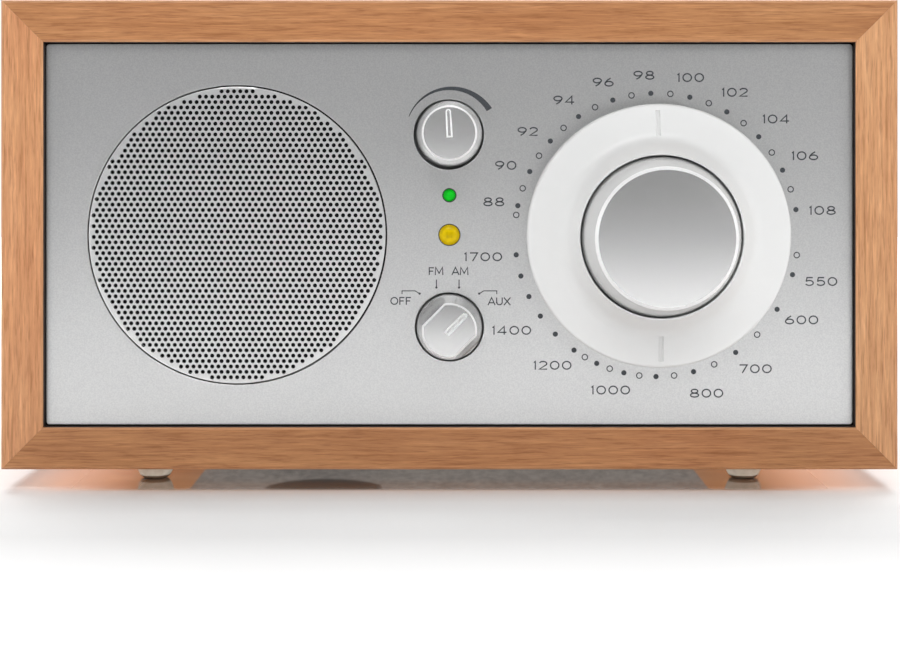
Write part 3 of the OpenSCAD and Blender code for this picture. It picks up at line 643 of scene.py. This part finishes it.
def mitred_board(corners, inward):
    """One board of the sleeve, from its outer two and inner two (x, z) corners.

    The faces get material 0, the eased edges 1 and the wall that faces inward 2."""
    bm = bmesh.new()
    near = [bm.verts.new((x, CAB_LOW[1], z)) for x, z in corners]
    far = [bm.verts.new((x, CAB_HIGH[1], z)) for x, z in corners]
    prism(bm, near, far)
    bmesh.ops.recalc_face_normals(bm, faces=bm.faces)
    for pair_width, (i, j) in ((OUTER_EASE, (0, 1)), (INNER_EASE, (2, 3))):
        eased = [bm.edges.get((row[i], row[j])) for row in (near, far)]
        bmesh.ops.bevel(bm, geom=eased, offset=pair_width * MM, segments=4, profile=0.5, affect="EDGES")
    bm.normal_update()
    for face in bm.faces:
        if face.normal.dot(Vector(inward)) > 0.99:
            face.material_index = 2
        elif 0.01 < abs(face.normal.y) < 0.99:
            face.material_index = 1
    return bm


def sleeve():
    x0, x1 = CAB_LOW[0], CAB_HIGH[0]
    z0, z1 = CAB_LOW[2], CAB_HIGH[2]
    t = BOARD_T
    gap = MITRE_GAP * MM
    across = (x0 + gap, x1 - gap, x1 - t - gap, x0 + t + gap)
    up = (z0 + gap, z1 - gap, z1 - t - gap, z0 + t + gap)
    boards = {
        "cabinet_top": (list(zip(across, (z1, z1, z1 - t, z1 - t))), (0, 0, -1), WOOD_TOP, EDGE_ALONG_X),
        "cabinet_bottom": (list(zip(across, (z0, z0, z0 + t, z0 + t))), (0, 0, 1), WOOD_BOTTOM, EDGE_ALONG_X),
        "cabinet_left": (list(zip((x0, x0, x0 + t, x0 + t), up)), (1, 0, 0), WOOD_LEFT, EDGE_ALONG_Z),
        "cabinet_right": (list(zip((x1, x1, x1 - t, x1 - t), up)), (-1, 0, 0), WOOD_RIGHT, EDGE_ALONG_Z),
    }
    for node, (corners, inward, face_wood, edge_wood) in boards.items():
        mesh = mesh_from(mitred_board(corners, inward), node, 40, (0, 1, 2))
        # The third material, for the inward walls, is near-black painted shade.
        for material in (face_wood, edge_wood, PAINTED_SHADE_RECESS):
            mesh.materials.append(material)
        if node == "cabinet_bottom":
            mesh = cut(mesh, [port_cutter(), base_plate_cutter()], node, (0, 1, 2))
        new_piece("veneer_" + node, mesh, "root", [], [node])


def port_cutter():
    hole_r = 15 * MM
    length = 60 * MM
    bm = bmesh.new()
    bmesh.ops.create_cone(bm, cap_ends=True, segments=96, radius1=hole_r, radius2=hole_r, depth=length)
    bm.transform(Matrix.Translation((PORT[0], PORT[1], CAB_LOW[2])))
    return mesh_from(bm, "port_cutter")


def base_plate_cutter():
    """The base plate's box, longer below so that it leaves the board."""
    low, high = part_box("base_plate")
    below = 1.0 * MM
    bm = bmesh.new()
    bmesh.ops.create_cube(bm, size=1.0)
    size = [high[i] - low[i] for i in range(3)]
    centre = middle("base_plate")
    bm.transform(Matrix.Translation((centre[0], centre[1], centre[2] - below / 2))
                 @ Matrix.Diagonal((size[0], size[1], size[2] + below, 1)))
    return mesh_from(bm, "base_cutter")


# ---- front panel ----------------------------------------------------------

def front_panel():
    corner_r = 0.8
    edge = 0.12
    shaft_hole_r = 5.5
    lamp_gap = 0.08
    volume_hole_shift = (-0.15, -0.2)
    half_w = (CAB_HIGH[0] - BOARD_T) / MM - PANEL_GAP_SIDE
    low = (CAB_LOW[2] + BOARD_T - MID_Z) / MM + PANEL_GAP_END
    high = (CAB_HIGH[2] - BOARD_T - MID_Z) / MM - PANEL_GAP_END
    right, top, bottom = half_w - corner_r, high - corner_r, low + corner_r
    outline = []
    for cx, cy, start in ((right, top, 0), (-right, top, 90), (-right, bottom, 180), (right, bottom, 270)):
        outline += arc_points(cx, cy, corner_r, corner_r, start, start + 90, 4)
    volume_y, mode_y, power_y = [(z - MID_Z) / MM for z in (VOLUME_Z, MODE_Z, POWER_LED_Z)]
    holes = [circle(SPEAKER_X / MM, 0, SPEAKER_HOLE_R, 192),
             circle(DIAL_X / MM, 0, shaft_hole_r, 64),
             circle(volume_hole_shift[0], volume_y + volume_hole_shift[1], VOLUME_HOLE_R),
             circle(0, mode_y, MODE_HOLE_R),
             circle(0, power_y, POWER_LED_R + lamp_gap, 48),
             circle(0, 0, TUNING_LED_R + lamp_gap, 48)]
    at = on_panel(0, MID_Z) @ Matrix.Translation((0, 0, -PANEL_T / 2))
    mesh = plate("front_panel_plate", outline, holes, PANEL_T / MM, edge, at)
    new_piece("front_panel_plate", mesh, "root", [PANEL_PAINT], ["front_panel"])


# ---- printing: strokes drawn on the panel's face ---------------------------

class Print:
    """Collects flat shapes in millimetres on the panel and makes them one thin mesh."""

    def __init__(self, x, z):
        self.bm = bmesh.new()
        self.origin = on_panel(x, z)

    def dot(self, x, y, r):
        """A filled circle, raised by the ink's thickness."""
        top, foot = [[self.vert(p, height) for p in circle(x, y, r, 28)] for height in (INK_T, 0)]
        prism(self.bm, top, foot)

    def strip(self, left, right):
        """A closed band between two point lists of the same length."""
        for i in range(len(left) - 1):
            quad = (left[i], right[i], right[i + 1], left[i + 1])
            self.bm.faces.new([self.vert(p, INK_T) for p in quad])
            self.bm.faces.new([self.vert(p, 0) for p in quad[::-1]])
        sides = [pair for row in (left, right) for pair in zip(row, row[1:])]
        sides += [(left[0], right[0]), (left[-1], right[-1])]
        for a, b in sides:
            corners = ((a, 0), (b, 0), (b, INK_T), (a, INK_T))
            self.bm.faces.new([self.vert(point, height) for point, height in corners])

    def vert(self, point, height):
        return self.bm.verts.new((point[0] * MM, point[1] * MM, height * MM))

    def stroke(self, points, width, closed=False):
        """A line of constant width through the points."""
        line = [Vector(p) for p in points]
        if closed:
            line.append(line[0])
        steps = [(b - a).normalized() for a, b in zip(line, line[1:])]
        left, right = [], []
        for i, here in enumerate(line):
            ways = steps[max(i - 1, 0):i + 1]
            if closed and i in (0, len(steps)):
                ways = [steps[-1], steps[0]]
            way = sum(ways, Vector((0, 0))).normalized()
            side = Vector((-way.y, way.x))
            spread = max(0.5, side.dot(Vector((-ways[0].y, ways[0].x))))
            left.append(here + side * width / 2 / spread)
            right.append(here - side * width / 2 / spread)
        self.strip(left, right)

    def ring(self, x, y, r, width):
        """An open circle whose outer radius is r."""
        self.stroke(circle(x, y, r - width / 2, 32), width, closed=True)

    def make(self, name):
        bmesh.ops.remove_doubles(self.bm, verts=self.bm.verts, dist=1e-8)
        self.bm.transform(self.origin)
        mesh = mesh_from(self.bm, name, 30)
        return new_piece(name, mesh, "root", [INK])


def oval(cx, cy, rx, ry, count=28):
    """A closed stroke, which the None at its end marks."""
    return arc_points(cx, cy, rx, ry, 0, 360, count)[:-1] + [None]


# Each glyph is a width and its strokes, in units of the cap height.
GLYPHS = {
    "0": (1.10, [oval(0.55, 0.5, 0.48, 0.44, 32)]),
    "1": (0.34, [[(0.06, 0.80), (0.23, 0.94), (0.23, 0.0)]]),
    "2": (1.00, [arc_points(0.50, 0.69, 0.42, 0.25, 165, -38, 14) + [(0.07, 0.06), (0.96, 0.06)]]),
    "4": (1.10, [[(1.04, 0.27), (0.07, 0.27), (0.78, 0.95), (0.78, 0.0)]]),
    "5": (1.02, [[(0.90, 0.94), (0.24, 0.94), (0.15, 0.55)]
                 + arc_points(0.50, 0.335, 0.45, 0.28, 135, -155, 18)]),
    "6": (1.06, [oval(0.53, 0.32, 0.46, 0.26),
                 [(0.72, 0.95), (0.36, 0.74), (0.09, 0.42)]]),
    "7": (0.98, [[(0.05, 0.94), (0.92, 0.94), (0.36, 0.0)]]),
    "8": (1.06, [oval(0.53, 0.73, 0.37, 0.21, 26), oval(0.53, 0.28, 0.46, 0.22)]),
    "9": (1.06, [oval(0.53, 0.68, 0.46, 0.26),
                 [(0.34, 0.05), (0.70, 0.26), (0.97, 0.58)]]),
    "A": (1.00, [[(0.04, 0.0), (0.50, 1.0), (0.96, 0.0)], [(0.20, 0.32), (0.80, 0.32)]]),
    "F": (0.74, [[(0.10, 0.0), (0.10, 0.94), (0.70, 0.94)], [(0.10, 0.50), (0.60, 0.50)]]),
    "M": (1.14, [[(0.08, 0.0), (0.13, 1.0), (0.57, 0.22), (1.01, 1.0), (1.06, 0.0)]]),
    "O": (1.04, [oval(0.52, 0.5, 0.44, 0.44)]),
    "U": (0.92, [[(0.10, 1.0), (0.10, 0.38)] + arc_points(0.46, 0.38, 0.36, 0.32, 180, 360, 12)
                 + [(0.82, 1.0)]]),
    "X": (0.96, [[(0.06, 0.0), (0.90, 1.0)], [(0.06, 1.0), (0.90, 0.0)]]),
}


def label_width(text, cap, gap):
    return sum(GLYPHS[c][0] for c in text) * cap + gap * cap * (len(text) - 1)


def write(sheet, text, cx, cy, cap, width, gap=0.28):
    """Writes text centred on (cx, cy)."""
    x = cx - label_width(text, cap, gap) / 2
    y = cy - cap / 2
    for c in text:
        advance, strokes = GLYPHS[c]
        for points in strokes:
            closed = points[-1] is None
            line = [(x + px * cap, y + py * cap) for px, py in (points[:-1] if closed else points)]
            sheet.stroke(line, width, closed)
        x += (advance + gap) * cap


def fm_angle(mhz):
    """A frequency's place on the dial, in degrees clockwise from the top."""
    step = mhz - 88
    return -78.1 + 7.27 * step + 0.031 * step ** 2


def am_angle(khz):
    u = math.log(khz / 900)
    return 180.2 + 126.7 * u - 25.5 * u ** 2 + 44.5 * u ** 3


def dial_scale():
    dots_r = 33.8
    dot_r, ring_r, ring_w = 0.62, 0.78, 0.25
    scale_ends = (-81.9, 98.2)
    cap = 2.08
    line = 0.31
    sheet = Print(DIAL_X, MID_Z)

    def at(angle, radius):
        a = math.radians(angle)
        return radius * math.sin(a), radius * math.cos(a)

    filled = [fm_angle(f) for f in range(88, 109, 2)]
    filled += [am_angle(k) for k in (550, *range(600, 1701, 100))]
    hollow = [fm_angle(f) for f in range(89, 108, 2)]
    hollow += [am_angle(k) for k in range(650, 1151, 100)] + list(scale_ends)
    for angle in filled:
        sheet.dot(*at(angle, dots_r), dot_r)
    for angle in hollow:
        sheet.ring(*at(angle, dots_r), ring_r, ring_w)
    # each label's own turn from its dot in degrees, and its distance from the dial's centre
    labels = {"88": (-0.4, 39.6), "90": (-1.8, 39.6), "92": (-2.7, 39.4), "94": (-1.1, 39.0),
              "96": (-1.3, 38.6), "98": (-2.2, 38.2), "100": (-1.4, 38.4), "102": (-1.0, 38.8),
              "104": (-0.3, 39.7), "106": (-0.9, 40.1), "108": (1.9, 40.0), "550": (-0.5, 40.8),
              "600": (-1.3, 40.1), "700": (-2.5, 39.7), "800": (-2.4, 39.6), "1000": (3.2, 38.6),
              "1200": (3.0, 39.8), "1400": (1.6, 41.4), "1700": (0.9, 41.7)}
    for text, (turn, radius) in labels.items():
        value = int(text)
        angle = (fm_angle(value) if value < 200 else am_angle(value)) + turn
        write(sheet, text, *at(angle, radius), cap, line)
    sheet.make("dial_scale_print")


def volume_crescent():
    """A band round the volume knob that widens clockwise."""
    inner_r, thin, widening, bend = 10.4, 0.18, 1.27, 1.1
    start, end, count = -67.0, 59.0, 48
    sheet = Print(0, VOLUME_Z)
    inner, outer = [], []
    for k in range(count + 1):
        t = k / count
        a = math.radians(start + (end - start) * t)
        outer_r = inner_r + thin + widening * t ** bend
        inner.append((inner_r * math.sin(a), inner_r * math.cos(a)))
        outer.append((outer_r * math.sin(a), outer_r * math.cos(a)))
    sheet.strip(inner, outer)
    sheet.make("volume_scale_print")


def mode_legend():
    """The four words round the mode knob, each with a leader that ends in a dot."""
    cap, line = 1.84, 0.27
    leader_w, elbow_w, dot_r = 0.25, 0.22, 0.27
    # each word's middle and the gap between its letters
    words = {"FM": (-3.2, 13.3, 0.06), "AM": (2.55, 13.3, 0.06),
             "OFF": (-11.6, 6.2, 0.10), "AUX": (11.9, 6.1, 0.06)}
    sheet = Print(0, MODE_Z)
    for word, (x, y, gap) in words.items():
        write(sheet, word, x, y, cap, line, gap)
    for x in (-3.1, 2.3):
        sheet.stroke([(x, 11.3), (x, 9.5)], leader_w)
        sheet.dot(x, 9.4, dot_r)
    for side in (-1, 1):
        elbow = [(11.3, 7.8), (11.3, 8.6), (8.2, 8.6), (7.2, 8.0)]
        sheet.stroke([(side * x, y) for x, y in elbow], elbow_w)
        sheet.dot(side * 7.1, 7.95, dot_r)
    sheet.make("mode_legend_print")


# ---- grille ---------------------------------------------------------------

def grille():
    """A perforated sheet whose edge rolls off and then runs back to the baffle. Every hole is open."""
    pitch = 1.485
    shift_up = -0.476
    hole_r = 0.5
    hole_sides = 12
    rim_margin = 0.3
    flat_r = 34.9
    roll_r = 1.2
    roll_turn = math.radians(22)
    proud = 0.5
    rim_drop = 2.6
    row = pitch * math.sqrt(3) / 2
    edge_r = flat_r + roll_r * roll_turn
    reach = edge_r - 0.03
    corner = pitch / math.sqrt(3)
    bm = bmesh.new()
    known = {}
    border = []

    def vert(x, y):
        """One vertex for all the cells that meet here. The 0.3 keeps the lattice off the rounding's edges."""
        key = (round(x / 0.01 + 0.3), round(y / 0.01 + 0.3))
        if key not in known:
            known[key] = bm.verts.new((x, y, 0))
        return known[key]

    rows = int(reach / row) + 1
    columns = int(reach / pitch) + 1
    for j in range(-rows, rows + 1):
        for i in range(-columns, columns + 1):
            cx = (i + 0.5 * (j % 2)) * pitch
            cy = j * row + shift_up
            if math.hypot(cx, cy) > reach - hole_r - rim_margin:
                continue
            if math.hypot(cx, cy) > reach - corner:
                loop = [bm.verts.new((x, y, 0)) for x, y in circle(cx, cy, hole_r, hole_sides)]
                border += [bm.edges.new((loop[k - 1], loop[k])) for k in range(hole_sides)]
                continue
            outer, inner = [], []
            for k in range(hole_sides):
                a = math.radians(30 * k + 30)
                r = corner if k % 2 == 0 else pitch / 2
                outer.append(vert(cx + r * math.cos(a), cy + r * math.sin(a)))
                inner.append(bm.verts.new((cx + hole_r * math.cos(a), cy + hole_r * math.sin(a), 0)))
            for k in range(hole_sides):
                n = (k + 1) % hole_sides
                bm.faces.new((outer[k], outer[n], inner[n], inner[k]))
    shared = set(known.values())
    border += [e for e in bm.edges if e.is_boundary and all(v in shared for v in e.verts)]
    ring = [bm.verts.new((x, y, 0)) for x, y in circle(0, 0, edge_r, 240)]
    border += [bm.edges.new(pair) for pair in zip(ring, ring[1:] + ring[:1])]
    bmesh.ops.triangle_fill(bm, edges=border, use_beauty=True)
    for v in bm.verts:
        r = math.hypot(v.co.x, v.co.y)
        drop = 0.0
        scale = 1.0
        if r > flat_r:
            a = (r - flat_r) / roll_r
            scale = (flat_r + roll_r * math.sin(a)) / r
            drop = roll_r * (1 - math.cos(a))
        v.co = (v.co.x * scale * MM, v.co.y * scale * MM, (proud - drop) * MM)
    rim = set(ring)
    rim_edges = [e for e in bm.edges if e.is_boundary and all(v in rim for v in e.verts)]
    for v in bmesh.ops.extrude_edge_only(bm, edges=rim_edges)["geom"]:
        if isinstance(v, bmesh.types.BMVert):
            v.co.z = (proud - rim_drop) * MM
    bmesh.ops.recalc_face_normals(bm, faces=bm.faces)
    mesh = bpy.data.meshes.new("perforated_grille")
    bm.to_mesh(mesh)
    bm.free()
    return mesh


def fit_grille():
    """Gives the grille's sheet its thickness, and puts black cloth behind it."""
    sheet_t = 0.4
    cloth_r, cloth_front, cloth_back = 34.0, -0.75, -1.05
    carrier = put("grille_sheet", grille())
    solid = carrier.modifiers.new("sheet", "SOLIDIFY")
    solid.thickness = sheet_t * MM
    solid.offset = -1
    made = taken_mesh(carrier)
    bm = bmesh.new()
    bm.from_mesh(made)
    bm.transform(on_panel(SPEAKER_X, MID_Z))
    final = mesh_from(bm, "perforated_grille", 50)
    new_piece("perforated_grille", final, "root", [GRILLE_PAINT], ["speaker_grille"])
    disc = [(0, cloth_front), (cloth_r, cloth_front), (cloth_r, cloth_back), (0, cloth_back)]
    cloth = turned("grille_cloth", disc, 96, at=on_panel(SPEAKER_X, MID_Z))
    new_piece("grille_cloth", cloth, "root", [CLOTH])


# ---- knobs and dial -------------------------------------------------------

def dome(reach, height, sag, rings=8):
    """A slightly domed face, from its middle to the radius reach."""
    return [Vector((reach * k / rings, height - sag * (k / rings) ** 2)) for k in range(rings + 1)]


def small_knob(name, node, body, z, height, pointer, flats, paint):
    """A knob with a bright edge and a pointer groove. flats is half the width across its flats, or 0."""
    base_r, face_r, foot = 7.85, 6.45, -1.5
    chamfer, chamfer_h = 0.45, 0.5
    face = height - DOME_SMALL
    rim = face - chamfer_h
    profile = dome(face_r - chamfer, height, DOME_SMALL)
    profile += rounded([profile[-1], (face_r, rim, 0.2), (base_r, 0.2, 0.3), (base_r, foot, 0.3),
                        (0, foot)])[1:]
    mesh = turned(name, profile, 128, bands={(rim - 0.05, face, face_r - chamfer): 1})
    mesh.materials.append(paint)
    mesh.materials.append(EDGE_BRIGHT)
    cutters = [slot_cutter(from_r=-1.0, to_r=5.65, width=1.3, depth=0.3, face=height - DOME_SMALL / 2,
                           angle_deg=pointer, wall=0.36)]
    if flats:
        cutters += [flat_cutter(side, pointer, flats, face) for side in (-1, 1)]
    mesh = cut(mesh, cutters, name)
    mesh.transform(on_panel(0, z))
    new_piece(name, mesh, body, [], [node])


def flat_cutter(side, pointer, distance, height):
    """Cuts a flat beside the pointer; its foot sweeps outwards in a hollow."""
    sweep = 2.45
    low = 1.6
    chamfer, chamfer_h, lift = 0.45, 0.5, 0.5
    beyond = 14
    half_length = 12
    steps = 14
    drop = height - chamfer_h - low
    outline = [(distance - chamfer * (1 + lift / chamfer_h), height + lift), (distance, height - chamfer_h)]
    for k in range(1, steps + 1):
        a = math.pi / 2 * k / steps
        outline.append((distance + sweep * (1 - math.cos(a)), low + drop * (1 - math.sin(a))))
    outline += [(beyond, low), (beyond, height + lift)]
    bm = bmesh.new()
    near, far = [[bm.verts.new((side * x * MM, y * MM, h * MM)) for x, h in outline]
                 for y in (-half_length, half_length)]
    # The flat's slanted top side gets material 1, the near-white painted highlight.
    prism(bm, near, far)[0].material_index = 1
    turn_clockwise(bm, pointer)
    return mesh_from(bm, "flat_cutter")


def tuning_knob():
    height = (PANEL_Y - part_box("tuning_knob")[0][1]) / MM
    face_r, rim_r, skirt_r, skirt_top = 15.6, 16.35, 18.6, 11.4
    back, wall_r, hollow_r, hollow_top = 6.6, 16.2, 14.4, height - 3
    hub_r, bore_r, bore_top = 6.0, 2.52, 16.2
    rim = height - DOME_LARGE - 0.6
    profile = dome(face_r, height, DOME_LARGE, 16)
    profile += rounded([profile[-1], (rim_r, rim, 0.35), (skirt_r, skirt_top, 0.6), (skirt_r, back, 0.3),
                        (wall_r, back, 0.3), (hollow_r, hollow_top, 0.4), (hub_r, hollow_top, 0.3),
                        (hub_r, back, 0.2), (bore_r, back, 0.1), (bore_r, bore_top), (0, bore_top)])[1:]
    bright = {(rim - 0.1, height - DOME_LARGE, face_r): 1}
    mesh = turned("tuning_knob_turned", profile, 192, bands=bright, at=on_panel(DIAL_X, MID_Z))
    new_piece("tuning_knob_turned", mesh, "tuning", [KNOB_PAINT, EDGE_BRIGHT], ["tuning_knob"])


def dial_ring():
    """The white ring, with a pointer groove above and below the knob."""
    outer, lip_r, slope_r, inner, hub_r, bore_r = 31.1, 29.6, 22.6, 19.0, 8.0, 4.02
    lip_low, under, floor, hub_top = 0.6, 2.4, 4.4, 5.6
    slope_low, slope_high, crest = 6.05, 7.5, 11.95
    profile = rounded([(bore_r, under), (lip_r, under, 0.2), (lip_r, lip_low, 0.2), (outer, lip_low, 0.25),
                       (outer, slope_low, 0.85), (slope_r, slope_high, 5.0),
                       (inner + 0.45, crest - 0.05, 0.3), (inner, crest, 0.12), (inner, floor, 0.3),
                       (hub_r, floor, 0.2), (hub_r, hub_top, 0.2), (bore_r, hub_top)], 10)
    profile.append(Vector(profile[0]))
    mesh = turned("dial_ring_moulded", profile, 224)
    groove_r, groove_h, groove_in = 23.5, 7.32, 0.3
    slope = Matrix.Rotation(math.radians(-9.7), 4, "X")
    cutters = []
    for turn in (0.8, 180.8):
        tool = slot_cutter(from_r=0, to_r=6.1, width=1.15, depth=0.5, face=groove_in, angle_deg=0,
                           wall=0.2, round_end=False)
        tool.transform(Matrix.Rotation(math.radians(turn), 4, "Z")
                       @ Matrix.Translation((0, groove_r * MM, (groove_h - groove_in) * MM)) @ slope)
        cutters.append(tool)
    mesh = cut(mesh, cutters, "dial_ring_moulded")
    mesh.transform(on_panel(DIAL_X, MID_Z))
    new_piece("dial_ring_moulded", mesh, "dial", [DIAL_WHITE], ["dial_ring"])


# ---- lamps and feet -------------------------------------------------------

def lamp(name, node, z, r, proud, material):
    """A domed lens, with a thin black ring round it on the panel: painted shade round the lens."""
    dome_h = 1.0
    back = -5.5
    shade_ring_in, shade_ring_out, shade_ring_h = r + 0.02, r + 0.2, 0.1
    profile = [(0, back), (r, back), (r, proud - dome_h)]
    profile += [(r * math.cos(math.radians(a)), proud - dome_h + dome_h * math.sin(math.radians(a)))
                for a in range(10, 90, 8)] + [(0, proud)]
    new_piece(name, turned(name, profile, 64, 40, at=on_panel(0, z)), "root", [material], [node])
    profile = rounded([(shade_ring_in, 0.0), (shade_ring_in, shade_ring_h, 0.05), (shade_ring_out, shade_ring_h, 0.05),
                       (shade_ring_out, 0.0)], 3)
    ring = turned(name + "_shade_ring", profile, 64, 60, at=on_panel(0, z))
    new_piece(name + "_shade_ring", ring, "root", [SHADOW_BLACK])


def feet():
    waist = 2.15
    toe = 0.12
    steps = 12
    for node in ("foot_front_left", "foot_front_right", "foot_rear_left", "foot_rear_right"):
        low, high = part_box(node)
        height = (high[2] - low[2]) / MM
        top_r = (high[0] - low[0]) / 2 / MM
        base_r = top_r - waist
        profile = [(0, 0), (base_r - 0.3, 0), (base_r, toe)]
        for k in range(1, steps + 1):
            a = math.pi / 2 * k / steps
            profile.append((base_r + (top_r - base_r) * math.sin(a),
                            toe + (height - toe) * (1 - math.cos(a))))
        profile.append((0, height))
        mesh = turned(node + "_dome", profile, 64, 50, at=Matrix.Translation((*middle(node)[:2], low[2])))
        new_piece(node + "_dome", mesh, "root", [FOOT], [node])


def port_flare():
    """A rounded lip where the port leaves the underside."""
    low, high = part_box("bass_port_tube")
    outer = (high[0] - low[0]) / 2 / MM
    inner = outer - 1.4
    mouth_r, mouth_h, throat_h = inner + 0.9, 0.05, 2.0
    tall = (high[2] - low[2]) / MM
    profile = rounded([(mouth_r, mouth_h), (outer, mouth_h, 0.1), (outer, tall, 0.3), (inner, tall, 0.5),
                       (inner, throat_h, 0.8), (mouth_r, mouth_h)], 6)
    mesh = turned("port_tube_flared", profile, 96, 50, at=Matrix.Translation((PORT[0], PORT[1], low[2])))
    new_piece("port_tube_flared", mesh, "root", [BLACK_PLASTIC], ["bass_port_tube"])


# ---- stage ----------------------------------------------------------------

def stage():
    """A matt white table with a polished patch where the radio stands.

    For the camera alone it is lifted towards white far from the radio, and in front of it and beside it,
    where the glow is painted light over the radio's shadow. Under the radio its base colour is darker:
    painted shade."""
    white = (0.86, 0.86, 0.86)
    in_shade = (0.24, 0.23, 0.22)
    patch_w = CAB_HIGH[0] - 6.5 * MM
    patch_d = (CAB_HIGH[1] - CAB_LOW[1]) / 2
    bm = bmesh.new()
    bmesh.ops.create_grid(bm, x_segments=1, y_segments=1, size=1.5)
    floor = put("floor", mesh_from(bm, "floor"))
    s = Shader("floor_white", white, 0.5)

    split = s.node("SeparateXYZ", Vector=s.place())
    across = s.math("ABSOLUTE", split.outputs["X"])
    middle_y = (CAB_LOW[1] + CAB_HIGH[1]) / 2
    deep = s.math("ABSOLUTE", s.math("SUBTRACT", split.outputs["Y"], middle_y))
    far = s.distance(across, deep)
    inside = s.span(deep, patch_d - 0.004, patch_d, 1.0, 0.0)
    polished = s.product(s.span(across, patch_w - 0.018, patch_w, 1.0, 0.0), inside)
    # shaded darkens the base colour under the radio: painted shade.
    shaded = s.product(s.span(across, patch_w - 0.026, patch_w - 0.006, 1.0, 0.0), inside)
    s.link(s.mix(shaded, white, in_shade), "Base Color")
    s.link(s.span(polished, 0, 1, 0.0, 0.8), "Specular IOR Level")
    s.link(s.span(polished, 0, 1, 0.5, 0.06), "Roughness")
    # ahead and beside are a glow for the camera alone: painted light over the radio's shadow on the floor.
    past_ends = s.span(across, patch_w + 0.012, patch_w + 0.04, 1.0, 0.0)
    ahead = s.product(s.span(deep, patch_d - 0.001, patch_d + 0.016, 0.0, 0.15),
                      s.span(deep, patch_d + 0.028, patch_d + 0.055, 1.0, 0.0), past_ends)
    beside = s.product(s.span(across, patch_w - 0.026, patch_w, 0.0, 0.24), past_ends,
                       s.span(deep, patch_d, patch_d + 0.024, 1.0, 0.0))
    lift = s.math("ADD", s.span(far, 0.35, 0.75), s.math("ADD", ahead, beside))
    seen = s.tree.nodes.new("ShaderNodeLightPath").outputs["Is Camera Ray"]
    s.link(s.product(lift, seen), "Emission Strength")
    s.set("Emission Color", (1, 1, 1, 1))
    floor.data.materials.append(s.material)


def softbox(name, place, target, size, power, spread):
    data = bpy.data.lights.new(name, "AREA")
    data.spread = math.radians(spread)
    data.shape = "RECTANGLE"
    data.size, data.size_y = size
    data.energy = power
    light = put(name, data)
    light.location = place
    way = Vector(target) - Vector(place)
    light.rotation_euler = way.to_track_quat("-Z", "Y").to_euler()
    return light


def lights():
    centre = (0, -0.03, 0.06)
    # each light's place, target, size, watts and spread in degrees
    table = {
        "behind": ((0.0, 0.48, 1.0), (0, 0, 0), (1.3, 0.8), 17.2, 180.0),
        "front_floor": ((0.0, -0.42, 0.55), (0, -0.36, 0), (0.8, 0.15), 0.50, 40.0),
        "front_up": ((0.0, -0.90, 0.75), centre, (0.8, 0.3), 0.55, 60.0),
        "left": ((-0.85, -0.95, 0.40), centre, (0.8, 0.7), 0.33, 100.0),
        "right": ((0.85, -0.95, 0.40), centre, (0.8, 0.7), 0.76, 100.0),
        "left_side": ((-1.15, -0.30, 0.40), centre, (0.7, 0.8), 0.95, 100.0),
        "right_side": ((1.15, -0.30, 0.40), centre, (0.7, 0.8), 0.75, 100.0),
    }
    for name, row in table.items():
        softbox(name, *row)
    middle_y = (CAB_LOW[1] + CAB_HIGH[1]) / 2
    glow = softbox("under", (0, middle_y, 0.0008), (0, 0.01, 1), (0.2, 0.108), 0.09, 180.0)
    glow.visible_camera = False
    glow.visible_glossy = False


def surroundings():
    """A dim white world that the camera sees as plain white."""
    world = bpy.data.worlds.new("studio")
    world.use_nodes = True
    tree = world.node_tree
    dim = tree.nodes["Background"]
    white = tree.nodes.new("ShaderNodeBackground")
    for background, strength in ((dim, 0.116), (white, 1.0)):
        background.inputs["Color"].default_value = (1, 1, 1, 1)
        background.inputs["Strength"].default_value = strength
    ray = tree.nodes.new("ShaderNodeLightPath")
    mixed = tree.nodes.new("ShaderNodeMixShader")
    tree.links.new(ray.outputs["Is Camera Ray"], mixed.inputs[0])
    tree.links.new(dim.outputs[0], mixed.inputs[1])
    tree.links.new(white.outputs[0], mixed.inputs[2])
    tree.links.new(mixed.outputs[0], tree.nodes["World Output"].inputs["Surface"])
    bpy.context.scene.world = world


def camera():
    """A long lens straight ahead of the front, its frame as wide as the photograph's."""
    distance = 0.450
    height = 0.07785
    view_width = 0.2132701
    data = bpy.data.cameras.new("camera")
    data.sensor_width = 36.0
    data.lens = data.sensor_width * distance / view_width
    data.shift_x = 0.000667
    data.shift_y = -0.183556
    data.clip_start = 0.01
    eye = put("camera", data)
    eye.location = (0.0, CAB_LOW[1] - distance, height)
    eye.rotation_euler = (math.pi / 2, 0, 0)
    bpy.context.scene.camera = eye


finish_cad_nodes()
sleeve()
front_panel()
fit_grille()
dial_scale()
volume_crescent()
mode_legend()
small_knob("volume_knob_turned", "volume_knob", "volume", VOLUME_Z, height=11.5, pointer=-3.0, flats=0,
           paint=VOLUME_PAINT)
small_knob("mode_knob_turned", "mode_knob", "mode", MODE_Z, height=11.0, pointer=45.0, flats=5.35,
           paint=MODE_PAINT)
tuning_knob()
dial_ring()
lamp("power_lamp", "power_led", POWER_LED_Z, POWER_LED_R, proud=0.9, material=GREEN_LENS)
lamp("tuning_lamp", "tuning_led", MID_Z, TUNING_LED_R, proud=1.1, material=AMBER_LENS)
feet()
port_flare()
stage()
lights()
surroundings()
camera()
bpy.context.scene.view_settings.view_transform = "Standard"
